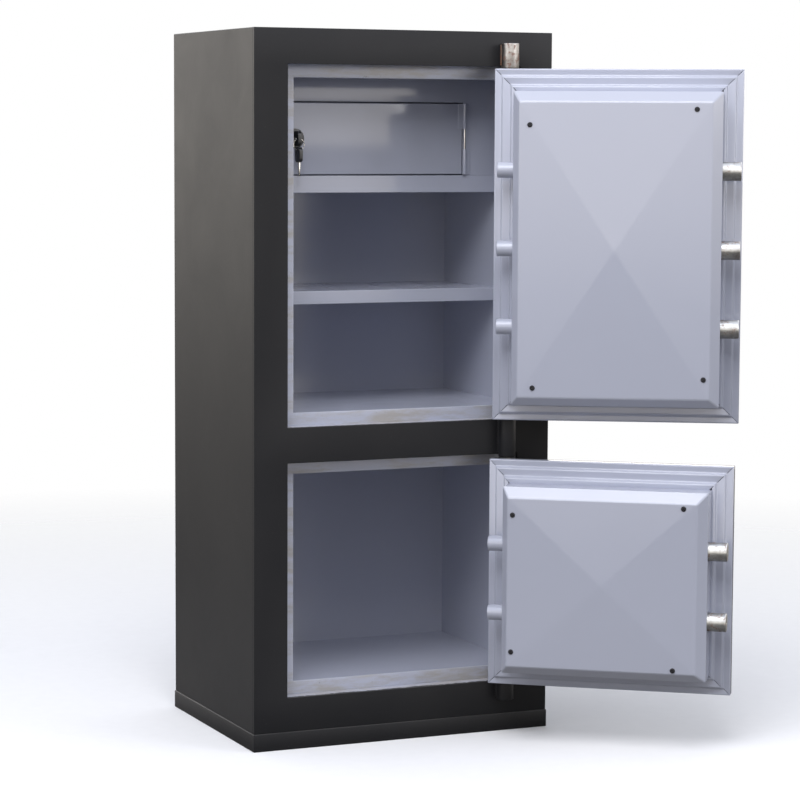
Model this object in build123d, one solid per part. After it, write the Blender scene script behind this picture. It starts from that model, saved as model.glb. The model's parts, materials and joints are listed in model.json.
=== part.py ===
"""Two-door steel safe: a tall upper compartment with an inner locker, and a lower one.

Frame: origin at the centre of the footprint on the floor, +X to the right as seen from the
front, +Y towards the back, +Z up.  Millimetres.  Both doors hang on the right and are exported
standing open; each door is laid out closed and then turned about its own hinge axis.
"""
from build123d import *
from math import hypot, sqrt
import os

# ---- cutting ----
# How far a cutting shape passes beyond the surface it cuts through.
over = 1.0

# ---- body ----
body_width = 556.0
body_depth = 410.0
body_height = 1200.0
plinth_height = 31.0
plinth_proud = 1.5
plinth_wall = 25.0
casing_sheet = 3.0
face_plate = 6.0

# ---- face frame: rails and stiles around the two door openings ----
stile = 61.0
top_rail = 60.0
mid_rail = 61.0
bottom_rail = 59.0
lower_opening_height = 405.0

# ---- stepped jamb behind each opening ----
rebate_depth = 30.0
lip_width = 22.0
lip_plate = 4.0
jamb_sheet = 3.0

# ---- liner and insulation ----
side_wall = 36.0
back_wall = 42.0
liner_sheet = 2.0

# ---- shelves and inner locker ----
interior_setback = 135.0
shelf_sheet = 2.0
locker_shelf_drop = 168.0
locker_shelf_lip = 30.0
middle_shelf_lip = 23.0
bracket_leg = 18.0
bracket_sheet = 2.0
locker_sheet = 1.5
locker_door_height = 127.0
locker_door_from_wall = 57.0
locker_hinge_from_wall = 70.0
locker_door_gap = 2.0
locker_door_return = 8.0
locker_hinge_radius = 3.2
locker_pin_radius = 1.6
locker_pin_end = 2.0
locker_barrel_gap = 0.4
locker_knuckle_length = 45.0
locker_leaf = 12.0
locker_leaf_sheet = 1.3

# ---- locker lock, keys and ring ----
lock_from_edge = 33.0
rosette_radius = 17.0
rosette_thickness = 3.0
rosette_chamfer = 1.2
lock_barrel_radius = 9.0
plug_radius = 5.0
cam_length = 42.0
cam_width = 14.0
cam_sheet = 2.5
cam_gap = 0.4
key_head_width = 26.0
key_head_depth = 22.0
key_head_thickness = 7.0
key_blade_width = 7.0
key_blade_thickness = 2.0
key_blade_length = 24.0
key_hole_radius = 3.0
key_hole_edge = 2.0
ring_radius = 10.0
ring_wire_radius = 0.8

# ---- main doors ----
door_gap = 4.0
door_plate_thickness = 6.0
door_edge = 20.0
rim_sheet = 2.0
rim_flange = 12.0
rim_second_step = 28.0
rim_riser_run = 2.0
rim_first_rise = 7.0
rim_second_rise = 16.0
mitre_reach = 33.0
mitre_gap = 0.8
box_hinge_margin = 37.0
box_opening_margin = 35.0
box_top_margin = 39.0
box_bottom_margin = 33.0
box_wall = 3.0
bolt_to_cover = 3.0
cover_skirt = 14.0
cover_hinge_slope = 11.0
cover_opening_slope = 17.0
cover_top_slope = 18.0
cover_bottom_slope = 14.0
cover_crease = 6.0
cover_sheet = 2.0
screw_head_radius = 4.5
screw_head_rise = 1.6
screw_shank_radius = 2.2
screw_length = 12.0
screw_seat = 0.25

# ---- main hinges ----
hinge_inset = 89.0
hinge_standoff = 17.0
barrel_radius = 15.0
hinge_pin_radius = 7.0
running_gap = 0.06
barrel_gap = 1.0
top_barrel_length = 43.0
bottom_barrel_length = 33.0
knuckle_length = 45.0
hinge_pad_width = 18.0
pin_reach = 30.0

# ---- bolt work ----
bolt_level = 45.0
live_bolt_radius = 16.0
dead_bolt_radius = 13.5
live_bolt_end_gap = 3.0
dead_bolt_end_gap = 9.0
dead_bolt_length = 70.0
bolt_chamfer = 1.0
bolt_travel = 36.0
carrier_from_edge = 80.0
carrier_width = 8.0
carrier_depth = 12.0
carrier_overrun = 22.0
guide_from_edge = 56.0
guide_width = 12.0
guide_height = 42.0
guide_wall = 3.0
wall_hole_gap = 1.0
handle_from_edge = 130.0
crank_radius = 34.0
crank_level = 27.0
crank_thickness = 8.0
drive_pin_radius = 5.0
drive_slot_gap = 1.1
yoke_depth = 10.0
yoke_wall = 5.0
slot_end_gap = 1.0
spindle_radius = 8.0
handle_standoff = 45.0
handle_length = 115.0
handle_radius = 9.0
hub_radius = 22.0
hub_round = 5.0
hub_gap = 0.4
lever_set = 2.0
lock_case_width = 70.0
lock_case_height = 60.0
lock_case_depth = 22.0
keyhole_radius = 8.0
keyhole_slot_width = 4.4
keyhole_slot_height = 12.0
keyhole_slot_depth = 5.0
key_cover_radius = 18.0
key_cover_thickness = 4.0
key_cover_round = 1.5
key_cover_gap = 0.3
key_cover_drop = 12.0
key_cover_pin_radius = 3.0
key_cover_pin_end = 0.5

# ---- places that follow from the sizes above ----
half_width = body_width / 2
front = -body_depth / 2
back = body_depth / 2
body_bottom = plinth_height
body_top = plinth_height + body_height
casing_front = front + face_plate
lower_opening_bottom = body_bottom + bottom_rail
lower_opening_top = lower_opening_bottom + lower_opening_height
upper_opening_bottom = lower_opening_top + mid_rail
upper_opening_top = body_top - top_rail
opening_half = half_width - stile
lip_half = opening_half - lip_width
lip_front = front + rebate_depth
liner_front = lip_front + lip_plate
liner_half = half_width - side_wall
liner_back = back - back_wall
casing_half = half_width - casing_sheet
shelf_front = front + interior_setback
hinge_x = half_width - hinge_inset
hinge_y = front - hinge_standoff
door_half = opening_half - door_gap
edge_plane = front + door_edge
drive_offset = bolt_travel / 2
box_height = bolt_level + live_bolt_radius + bolt_to_cover
cover_height = box_height + cover_skirt
locker_shelf_top = upper_opening_top - lip_width - locker_shelf_drop
middle_shelf_top = (upper_opening_bottom + lip_width + locker_shelf_top) / 2
locker_hinge_x = liner_half - locker_hinge_from_wall
locker_door_left = locker_door_from_wall - liner_half

openings = {
    "upper": (upper_opening_bottom, upper_opening_top),
    "lower": (lower_opening_bottom, lower_opening_top),
}

# Each door: how far it stands open, the first bolt's height above the bottom edge, the last
# bolt's depth below the top edge, the least distance from bolt to bolt, the lock's height above
# the handle, and the hand-drilled cover screws as insets from the four corners of the cover's face.
doors = {
    "upper": {
        "open_angle": 150.0,
        "first_bolt": 166.0,
        "last_bolt": 173.0,
        "bolt_pitch": 120.0,
        "lock_above_handle": -100.0,
        "screws": {"top_hinge": (18, 39), "top_opening": (27, 12), "bottom_hinge": (26, 17),
                   "bottom_opening": (10, 35)},
    },
    "lower": {
        "open_angle": 143.0,
        "first_bolt": 135.0,
        "last_bolt": 141.0,
        "bolt_pitch": 100.0,
        "lock_above_handle": 110.5,
        "screws": {"top_hinge": (9, 29), "top_opening": (23, 8), "bottom_hinge": (8, 26),
                   "bottom_opening": (38, 7)},
    },
}

parts = {}


def block(x, y, z):
    """A box between two corners, each axis given as (low, high)."""
    size = [high - low for low, high in (x, y, z)]
    middle = [(high + low) / 2 for low, high in (x, y, z)]
    return Pos(*middle) * Box(*size)


def rod_x(radius, x, y, z):
    """A round rod along X from x[0] to x[1]."""
    return Pos((x[0] + x[1]) / 2, y, z) * Rot(0, 90, 0) * Cylinder(radius, x[1] - x[0])


def rod_y(radius, x, y, z):
    """A round rod along Y from y[0] to y[1]."""
    return Pos(x, (y[0] + y[1]) / 2, z) * Rot(90, 0, 0) * Cylinder(radius, y[1] - y[0])


def rod_z(radius, x, y, z):
    """A round rod along Z from z[0] to z[1]."""
    return Pos(x, y, (z[0] + z[1]) / 2) * Cylinder(radius, z[1] - z[0])


def prism_y(points, y):
    """A prism whose outline is drawn in X and Z, from y[0] to y[1]."""
    outline = Polyline([(px, y[0], pz) for px, pz in points], close=True)
    return extrude(make_face(outline), amount=y[1] - y[0], dir=(0, 1, 0))


def body_of(solids):
    """Several separate solids kept in one named part."""
    return Compound(children=[one for piece in solids for one in piece.solids()])


# ---- body ----
def build_body():
    casing = block((-half_width, half_width), (casing_front, back), (body_bottom, body_top))
    casing -= block((-casing_half, casing_half), (casing_front - over, back + over),
                    (body_bottom - over, body_top - casing_sheet))
    parts["outer_casing"] = casing

    floor_top = body_bottom + casing_sheet
    roof = body_top - casing_sheet
    parts["base_plate"] = block((-casing_half, casing_half), (casing_front, back), (body_bottom, floor_top))
    back_inner = back - casing_sheet
    parts["back_panel"] = block((-casing_half, casing_half), (back_inner, back), (floor_top, roof))

    plinth_x = half_width + plinth_proud
    plinth_y = body_depth / 2 + plinth_proud
    ring = block((-plinth_x, plinth_x), (-plinth_y, plinth_y), (0, plinth_height))
    hollow_x = plinth_x - plinth_wall
    hollow_y = plinth_y - plinth_wall
    parts["plinth"] = ring - block((-hollow_x, hollow_x), (-hollow_y, hollow_y),
                                   (-over, plinth_height + over))

    face = block((-half_width, half_width), (front, casing_front), (body_bottom, body_top))
    for low, high in openings.values():
        face -= block((-opening_half, opening_half), (front - over, casing_front + over), (low, high))
    parts["front_frame"] = face

    for name, (low, high) in openings.items():
        outer = opening_half + jamb_sheet
        walls = block((-outer, outer), (casing_front, lip_front), (low - jamb_sheet, high + jamb_sheet))
        walls -= block((-opening_half, opening_half), (casing_front - over, lip_front + over), (low, high))
        lip_outer = liner_half + liner_sheet
        lip = block((-lip_outer, lip_outer), (lip_front, liner_front), (low - jamb_sheet, high + jamb_sheet))
        lip -= block((-lip_half, lip_half), (lip_front - over, liner_front + over),
                     (low + lip_width, high - lip_width))
        parts[f"{name}_jamb"] = walls + lip

        shell_x = liner_half + liner_sheet
        shell = block((-shell_x, shell_x), (liner_front, liner_back + liner_sheet),
                      (low + lip_width - liner_sheet, high - lip_width + liner_sheet))
        shell -= block((-liner_half, liner_half), (liner_front - over, liner_back),
                       (low + lip_width, high - lip_width))
        parts[f"{name}_liner"] = shell

    shell_x = liner_half + liner_sheet
    shell_back = liner_back + liner_sheet
    upper_low, upper_high = openings["upper"]
    lower_low, lower_high = openings["lower"]
    wall_depth = (liner_front, back_inner)
    room_depth = (liner_front, shell_back)
    layers = [
        (floor_top, lower_low + lip_width - liner_sheet),
        (lower_high - lip_width + liner_sheet, upper_low + lip_width - liner_sheet),
        (upper_high - lip_width + liner_sheet, roof),
    ]
    slabs = [block((-casing_half, -shell_x), wall_depth, (floor_top, roof)),
             block((shell_x, casing_half), wall_depth, (floor_top, roof)),
             block((-shell_x, shell_x), (shell_back, back_inner), (floor_top, roof))]
    slabs += [block((-shell_x, shell_x), room_depth, layer) for layer in layers]
    parts["fire_fill"] = body_of(slabs)


# ---- shelves and locker ----
def build_shelves():
    for name, top, lip in (("locker_shelf", locker_shelf_top, locker_shelf_lip),
                           ("middle_shelf", middle_shelf_top, middle_shelf_lip)):
        panel = block((-liner_half, liner_half), (shelf_front, liner_back), (top - shelf_sheet, top))
        nose = block((-liner_half, liner_half), (shelf_front, shelf_front + shelf_sheet), (top - lip, top))
        parts[name] = panel + nose

    brackets = []
    for top in (locker_shelf_top, middle_shelf_top):
        under = top - shelf_sheet
        run = (shelf_front + 2 * bracket_leg, liner_back - bracket_leg)
        for side in (-1, 1):
            wall = side * liner_half
            leg_x = sorted((wall, wall - side * bracket_sheet))
            foot_x = sorted((wall, wall - side * bracket_leg))
            leg = block(leg_x, run, (under - bracket_leg, under))
            foot = block(foot_x, run, (under - bracket_sheet, under))
            brackets.append(leg + foot)
    parts["shelf_brackets"] = body_of(brackets)


locker_door_low = locker_shelf_top + locker_door_gap
locker_door_high = locker_shelf_top + locker_door_height
locker_door_right = locker_hinge_x - locker_hinge_radius
locker_axis_y = shelf_front - locker_hinge_radius - locker_barrel_gap
lock_x = locker_door_left + lock_from_edge
lock_z = (locker_door_low + locker_door_high) / 2
key_hole_set = key_hole_radius + key_hole_edge
key_hole_y = shelf_front - rosette_thickness - key_head_depth + key_hole_set


def locker_knuckle(low, high, side):
    """One hinge barrel with its welded leaf, to the left (-1) or right (+1) of the axis."""
    barrel = rod_z(locker_hinge_radius, locker_hinge_x, locker_axis_y, (low, high))
    reach = sorted((locker_hinge_x, locker_hinge_x + side * locker_leaf))
    leaf = block(reach, (shelf_front - locker_leaf_sheet, shelf_front), (low, high))
    return barrel + leaf


def key_head(along_x, along_y, top_z, bottom_z):
    """A rounded key head, thin along X."""
    outline = Pos(along_x, along_y, (top_z + bottom_z) / 2) * Rot(0, 90, 0)
    flat = outline * RectangleRounded(top_z - bottom_z, key_head_depth, key_hole_set)
    return extrude(flat, amount=key_head_thickness / 2, both=True)


def build_locker():
    roof = upper_opening_top - lip_width
    sheet = (shelf_front, shelf_front + locker_sheet)
    opening_x = (locker_door_left - locker_door_gap, locker_door_right + locker_door_gap / 2)
    plate = block((-liner_half, liner_half), sheet, (locker_shelf_top, roof))
    plate -= block(opening_x, (sheet[0] - over, sheet[1] + over),
                   (locker_shelf_top - over, locker_door_high + locker_door_gap))
    parts["locker_front"] = plate

    low_end = locker_door_low + locker_knuckle_length
    high_start = locker_door_high - locker_knuckle_length
    pin_hole = rod_z(locker_pin_radius + running_gap, locker_hinge_x, locker_axis_y,
                     (high_start - over, locker_door_high + over))
    fixed = locker_knuckle(locker_door_low, low_end, 1)
    parts["locker_hinge_knuckle"] = fixed - rod_z(locker_pin_radius, locker_hinge_x, locker_axis_y,
                                                  (locker_door_low - over, low_end + over))
    parts["locker_door_knuckle"] = locker_knuckle(high_start, locker_door_high, -1) - pin_hole
    parts["locker_hinge_pin"] = rod_z(locker_pin_radius, locker_hinge_x, locker_axis_y,
                                      (locker_door_low, locker_door_high - locker_pin_end))

    tray = block((locker_door_left, locker_door_right), (shelf_front, shelf_front + locker_door_return),
                 (locker_door_low, locker_door_high))
    inner = locker_sheet
    tray -= block((locker_door_left + inner, locker_door_right - inner),
                  (shelf_front + inner, shelf_front + locker_door_return + over),
                  (locker_door_low + inner, locker_door_high - inner))
    tray -= rod_y(lock_barrel_radius, lock_x, (shelf_front - over, shelf_front + inner + over), lock_z)
    parts["locker_door"] = tray

    behind = shelf_front + locker_door_return + locker_barrel_gap
    rosette = rod_y(rosette_radius, lock_x, (shelf_front - rosette_thickness, shelf_front), lock_z)
    rosette = chamfer(rosette.faces().sort_by(Axis.Y)[0].edges(), rosette_chamfer)
    barrel = rod_y(lock_barrel_radius, lock_x, (shelf_front, behind), lock_z)
    bore = rod_y(plug_radius + running_gap, lock_x,
                 (shelf_front - rosette_thickness - over, behind + over), lock_z)
    parts["locker_lock_body"] = rosette + barrel - bore

    cam_y = (behind + cam_gap, behind + cam_gap + cam_sheet)
    plug = rod_y(plug_radius, lock_x, (shelf_front - rosette_thickness, cam_y[1]), lock_z)
    cam_x = (lock_x - cam_length, lock_x + cam_width / 2)
    cam = block(cam_x, cam_y, (lock_z - cam_width / 2, lock_z + cam_width / 2))
    parts["locker_cam"] = cam + plug

    head_back = shelf_front - rosette_thickness
    head_y = head_back - key_head_depth / 2
    head = key_head(lock_x, head_y, lock_z + key_head_width / 2, lock_z - key_head_width / 2)
    hole_x = (lock_x - key_head_thickness, lock_x + key_head_thickness)
    parts["locker_key"] = head - rod_x(key_hole_radius, hole_x, key_hole_y, lock_z)

    ring_z = lock_z - ring_radius
    ring = Pos(lock_x, key_hole_y, ring_z) * Rot(90, 0, 0) * Torus(ring_radius, ring_wire_radius)
    parts["key_ring"] = ring

    ring_low = ring_z - ring_radius
    head_top = ring_low + key_hole_set
    head_low = head_top - key_head_width
    spare = key_head(lock_x, key_hole_y, head_top, head_low)
    spare -= rod_x(key_hole_radius, hole_x, key_hole_y, ring_low)
    blade = block((lock_x - key_blade_thickness / 2, lock_x + key_blade_thickness / 2),
                  (key_hole_y - key_blade_width / 2, key_hole_y + key_blade_width / 2),
                  (head_low - key_blade_length, head_low + over))
    parts["spare_key"] = spare + blade


# ---- main hinges on the body ----
def build_frame_hinges():
    upper_low, upper_high = openings["upper"]
    lower_low, lower_high = openings["lower"]
    reach = door_gap - barrel_gap
    spans = [
        (upper_high - reach, upper_high - reach + top_barrel_length, upper_high, body_top),
        (lower_high - reach, upper_low + reach, lower_high, upper_low),
        (lower_low + reach - bottom_barrel_length, lower_low + reach, body_bottom, lower_low),
    ]
    barrels = []
    for low, high, pad_low, pad_high in spans:
        barrel = rod_z(barrel_radius, hinge_x, hinge_y, (low, high))
        pad = block((hinge_x - hinge_pad_width / 2, hinge_x + hinge_pad_width / 2), (hinge_y, front),
                    (max(low, pad_low), min(high, pad_high)))
        bore = rod_z(hinge_pin_radius, hinge_x, hinge_y, (low - over, high + over))
        barrels.append(barrel + pad - bore)
    parts["frame_hinge_barrels"] = body_of(barrels)

    pin_ends = [
        (upper_high - reach - pin_reach, upper_high - reach + top_barrel_length),
        (lower_high - reach - pin_reach, upper_low + reach + pin_reach),
        (lower_low + reach - bottom_barrel_length, lower_low + reach + pin_reach),
    ]
    parts["hinge_pins"] = body_of([rod_z(hinge_pin_radius, hinge_x, hinge_y, ends) for ends in pin_ends])


# ---- main doors, laid out closed ----
def rim_outline(width):
    """The bent sheet of the rim as (inset from the door edge, depth behind the edge plane)."""
    base = -(door_edge - door_plate_thickness)
    first = rim_flange + rim_riser_run
    second = rim_second_step + rim_riser_run
    skin = rim_sheet
    shift = rim_sheet * 0.75
    outer = [(0, base), (0, 0), (rim_flange, 0), (first, rim_first_rise),
             (rim_second_step, rim_first_rise), (second, rim_second_rise), (width, rim_second_rise)]
    inner = [(width, rim_second_rise - skin), (second + shift, rim_second_rise - skin),
             (rim_second_step + shift, rim_first_rise - skin), (first + shift, rim_first_rise - skin),
             (rim_flange + shift, -skin), (skin, -skin), (skin, base)]
    return outer + inner


def rim_section(side, low, high):
    """One straight length of the rim, cut to a mitre at both ends."""
    width = {"hinge": box_hinge_margin, "opening": box_opening_margin,
             "top": box_top_margin, "bottom": box_bottom_margin}[side]
    upright = side in ("hinge", "opening")
    points = []
    for inset, depth in rim_outline(width):
        y = edge_plane + depth
        across = {"hinge": (door_half - inset, y, low), "opening": (inset - door_half, y, low),
                  "top": (-door_half, y, high - inset), "bottom": (-door_half, y, low + inset)}[side]
        points.append(across)
    face = make_face(Polyline(points, close=True))
    run = high - low if upright else 2 * door_half
    bar = extrude(face, amount=run, dir=(0, 0, 1) if upright else (1, 0, 0))

    inner_right = door_half - box_hinge_margin
    inner_left = box_opening_margin - door_half
    right, left = door_half - mitre_reach, mitre_reach - door_half
    plans = {
        "top": [(-door_half, high), (door_half, high), (right, high - mitre_reach),
                (inner_right, high - box_top_margin), (inner_left, high - box_top_margin),
                (left, high - mitre_reach)],
        "bottom": [(-door_half, low), (door_half, low), (right, low + mitre_reach),
                   (inner_right, low + box_bottom_margin), (inner_left, low + box_bottom_margin),
                   (left, low + mitre_reach)],
        "hinge": [(door_half, low), (door_half, high), (right, high - mitre_reach),
                  (inner_right, high - box_top_margin), (inner_right, low + box_bottom_margin),
                  (right, low + mitre_reach)],
        "opening": [(-door_half, low), (-door_half, high), (left, high - mitre_reach),
                    (inner_left, high - box_top_margin), (inner_left, low + box_bottom_margin),
                    (left, low + mitre_reach)],
    }
    points = plans[side]
    tidy = [p for n, p in enumerate(points) if p != points[n - 1]]
    bar &= prism_y(tidy, (front, edge_plane + 2 * rim_second_rise))
    kerf_length = 2 * (hypot(mitre_reach, mitre_reach) + over)
    kerf_depth = 2 * (door_edge + rim_second_rise)
    for x, z, turn in ((door_half, high, 45), (-door_half, high, -45), (door_half, low, -45),
                       (-door_half, low, 45)):
        bar -= Pos(x, edge_plane, z) * Rot(0, -turn, 0) * Box(kerf_length, kerf_depth, mitre_gap)
    return bar


def shrunk(outline, by):
    """An outline (left, right, low, high) drawn in by one distance on every side."""
    left, right, low, high = outline
    return left + by, right - by, low + by, high - by


def upright_wire(outline, y):
    """The rectangle (left, right, low, high) as a wire standing at one depth."""
    left, right, low, high = outline
    return Wire.make_polygon([(left, y, low), (right, y, low), (right, y, high), (left, y, high)])


def cover_pan(seat_outline, face_outline):
    """A lid with sloping skirts and a slightly raised cross-broken face."""
    seat = edge_plane + box_height
    face = edge_plane + cover_height
    left, right, low, high = face_outline

    def hood(outline, top_outline, top):
        apex = Vertex((left + right) / 2, top + cover_crease, (low + high) / 2)
        skirt = Solid.make_loft([upright_wire(outline, seat), upright_wire(top_outline, top)], ruled=True)
        return skirt + Solid.make_loft([upright_wire(top_outline, top), apex], ruled=True)

    hollow = hood(shrunk(seat_outline, cover_sheet), shrunk(face_outline, cover_sheet), face - cover_sheet)
    return hood(seat_outline, face_outline, face) - hollow


def bolt_row(first, last, pitch):
    """Evenly spaced bolt heights from first to last, at least two and no closer than the pitch."""
    gaps = max(1, int((last - first) / pitch))
    return [first + (last - first) * n / gaps for n in range(gaps + 1)]


def build_door(name, data):
    opening_low, opening_high = openings[name]
    low, high = opening_low + door_gap, opening_high - door_gap
    pieces = {}
    plate_back = front + door_plate_thickness
    bolt_y = edge_plane + bolt_level
    bolt_heights = bolt_row(low + data["first_bolt"], high - data["last_bolt"], data["bolt_pitch"])
    handle_x = -door_half + handle_from_edge
    handle_z = (bolt_heights[-2] + bolt_heights[-1]) / 2
    lock_height = handle_z + data["lock_above_handle"]
    cover_pivot = lock_height + key_cover_drop

    plate = block((-door_half, door_half), (front, plate_back), (low, high))
    for radius, height in ((spindle_radius + running_gap, handle_z), (keyhole_radius, lock_height),
                           (key_cover_pin_radius + running_gap, cover_pivot)):
        plate -= rod_y(radius, handle_x, (front - over, plate_back + over), height)
    pieces["plate"] = plate

    for side in ("top", "bottom", "hinge", "opening"):
        pieces[f"rim_{side}"] = rim_section(side, low, high)

    box_left, box_right = box_opening_margin - door_half, door_half - box_hinge_margin
    box_low, box_high = low + box_bottom_margin, high - box_top_margin
    frame = block((box_left, box_right), (plate_back, edge_plane + box_height), (box_low, box_high))
    frame -= block((box_left + box_wall, box_right - box_wall),
                   (plate_back - over, edge_plane + box_height + over),
                   (box_low + box_wall, box_high - box_wall))
    for z in bolt_heights:
        frame -= rod_x(live_bolt_radius + wall_hole_gap, (box_left - over, box_left + box_wall + over),
                       bolt_y, z)
        frame -= rod_x(dead_bolt_radius, (box_right - box_wall - over, box_right + over), bolt_y, z)
    pieces["bolt_box"] = frame

    face_left, face_right = box_left + cover_opening_slope, box_right - cover_hinge_slope
    face_low, face_high = box_low + cover_bottom_slope, box_high - cover_top_slope
    cover = cover_pan((box_left, box_right, box_low, box_high), (face_left, face_right, face_low, face_high))
    face = edge_plane + cover_height
    screws = []
    for corner, (inset_x, inset_z) in data["screws"].items():
        x = face_right - inset_x if corner.endswith("hinge") else face_left + inset_x
        z = face_high - inset_z if corner.startswith("top") else face_low + inset_z
        edge_x = min(inset_x / (face_right - face_left), 0.5)
        edge_z = min(inset_z / (face_high - face_low), 0.5)
        level = face + 2 * cover_crease * min(edge_x, edge_z)
        cover -= rod_y(screw_shank_radius, x, (level - 2 * cover_sheet, level + over), z)
        head = rod_y(screw_head_radius, x, (level + screw_seat, level + screw_head_rise), z)
        head = chamfer(head.faces().sort_by(Axis.Y)[-1].edges(), screw_head_rise / 2)
        screws.append(head + rod_y(screw_shank_radius, x, (level - screw_length, level + 2 * screw_seat), z))
    pieces["cover"] = cover
    pieces["cover_screws"] = body_of(screws)

    live_x = (-door_half + live_bolt_end_gap, -door_half + carrier_from_edge)
    dead_x = (door_half - dead_bolt_end_gap - dead_bolt_length, door_half - dead_bolt_end_gap)
    live = [rod_x(live_bolt_radius, live_x, bolt_y, z) for z in bolt_heights]
    dead = [rod_x(dead_bolt_radius, dead_x, bolt_y, z) for z in bolt_heights]
    live = [chamfer(bolt.faces().sort_by(Axis.X)[0].edges(), bolt_chamfer) for bolt in live]
    dead = [chamfer(bolt.faces().sort_by(Axis.X)[-1].edges(), bolt_chamfer) for bolt in dead]
    pieces["live_bolts"] = body_of(live)
    pieces["dead_bolts"] = body_of(dead)

    carrier_y = (bolt_y - carrier_depth / 2, bolt_y + carrier_depth / 2)
    bar = block((live_x[1], live_x[1] + carrier_width), carrier_y,
                (bolt_heights[0] - carrier_overrun, bolt_heights[-1] + carrier_overrun))
    slot_x = handle_x - drive_offset
    slot_half = drive_pin_radius + drive_slot_gap
    slot_z = (handle_z + drive_offset - slot_half - slot_end_gap,
              handle_z + sqrt(2) * drive_offset + slot_half + slot_end_gap)
    yoke_y = (bolt_y - carrier_depth / 2, bolt_y - carrier_depth / 2 + yoke_depth)
    bar += block((live_x[1], slot_x + slot_half + yoke_wall), yoke_y,
                 (slot_z[0] - yoke_wall, slot_z[1] + yoke_wall))
    bar -= block((slot_x - slot_half, slot_x + slot_half), (yoke_y[0] - over, yoke_y[1] + over), slot_z)
    pieces["carrier_bar"] = bar

    guide_x = (-door_half + guide_from_edge, -door_half + guide_from_edge + guide_width)
    guides = []
    for z in bolt_heights:
        guide = block(guide_x, (plate_back, bolt_y + live_bolt_radius + guide_wall),
                      (z - guide_height / 2, z + guide_height / 2))
        guides.append(guide - rod_x(live_bolt_radius + running_gap,
                                    (guide_x[0] - over, guide_x[1] + over), bolt_y, z))
    pieces["bolt_guides"] = body_of(guides)

    crank_y = (edge_plane + crank_level, edge_plane + crank_level + crank_thickness)
    spindle = rod_y(spindle_radius, handle_x, (front - handle_standoff, crank_y[0]), handle_z)
    crank = rod_y(crank_radius, handle_x, crank_y, handle_z)
    pin = rod_y(drive_pin_radius, slot_x, (crank_y[0], bolt_y + carrier_depth / 2), handle_z + drive_offset)
    pieces["spindle"] = spindle + crank + pin

    hub = rod_y(hub_radius, handle_x, (front - handle_standoff, front - hub_gap), handle_z)
    hub = fillet(hub.faces().sort_by(Axis.Y)[0].edges(), hub_round)
    hub -= rod_y(spindle_radius, handle_x, (front - handle_standoff, front), handle_z)
    lever_y = front - handle_standoff + handle_radius + lever_set
    lever = rod_x(handle_radius, (handle_x, handle_x + handle_length), lever_y, handle_z)
    tip = Pos(handle_x + handle_length, lever_y, handle_z) * Sphere(handle_radius)
    lever = lever + tip
    lever -= rod_y(spindle_radius, handle_x, (front - handle_standoff - over, front), handle_z)
    pieces["handle"] = hub + lever

    case_y = (plate_back, plate_back + lock_case_depth)
    case = block((handle_x - lock_case_width / 2, handle_x + lock_case_width / 2), case_y,
                 (lock_height - lock_case_height / 2, lock_height + lock_case_height / 2))
    snout = rod_y(keyhole_radius, handle_x, (front, plate_back), lock_height)
    snout -= block((handle_x - keyhole_slot_width / 2, handle_x + keyhole_slot_width / 2),
                   (front - over, front + keyhole_slot_depth),
                   (lock_height - keyhole_slot_height / 2, lock_height + keyhole_slot_height / 2))
    pieces["lock_case"] = case + snout

    disc_y = (front - key_cover_thickness - key_cover_gap, front - key_cover_gap)
    disc = rod_y(key_cover_radius, handle_x, disc_y, lock_height)
    disc = fillet(disc.faces().sort_by(Axis.Y)[0].edges(), key_cover_round)
    stud = rod_y(key_cover_pin_radius, handle_x, (front - over, plate_back - key_cover_pin_end), cover_pivot)
    pieces["key_cover"] = disc + stud

    knuckles = []
    for ends in ((low, low + knuckle_length), (high - knuckle_length, high)):
        barrel = rod_z(barrel_radius, hinge_x, hinge_y, ends)
        pad = block((hinge_x - hinge_pad_width / 2, hinge_x + hinge_pad_width / 2), (hinge_y, front), ends)
        bore = rod_z(hinge_pin_radius + running_gap, hinge_x, hinge_y, (ends[0] - over, ends[1] + over))
        knuckles.append(barrel + pad - bore)
    pieces["knuckles"] = body_of(knuckles)

    swing = Pos(hinge_x, hinge_y, 0) * Rot(0, 0, data["open_angle"]) * Pos(-hinge_x, -hinge_y, 0)
    for piece, shape in pieces.items():
        parts[f"{name}_door_{piece}"] = swing * shape


build_body()
build_shelves()
build_locker()
build_frame_hinges()
for door_name, door_data in doors.items():
    build_door(door_name, door_data)

os.makedirs("parts", exist_ok=True)
for node, shape in parts.items():
    export_step(shape, f"parts/{node}.step")
print(len(parts), "parts")
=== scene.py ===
"""Two-door steel safe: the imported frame, finished with modelled sheet metal, hardware and paint.

Sizes are in metres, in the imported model's own frame: +X right, +Y to the back, +Z up.  Pieces of
a main door are modelled as on the closed door and then hung at the angle it stands open.
"""
import json
from math import cos, degrees, pi, radians, sin, sqrt

import bmesh
import bpy
from mathutils import Matrix, Vector


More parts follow.
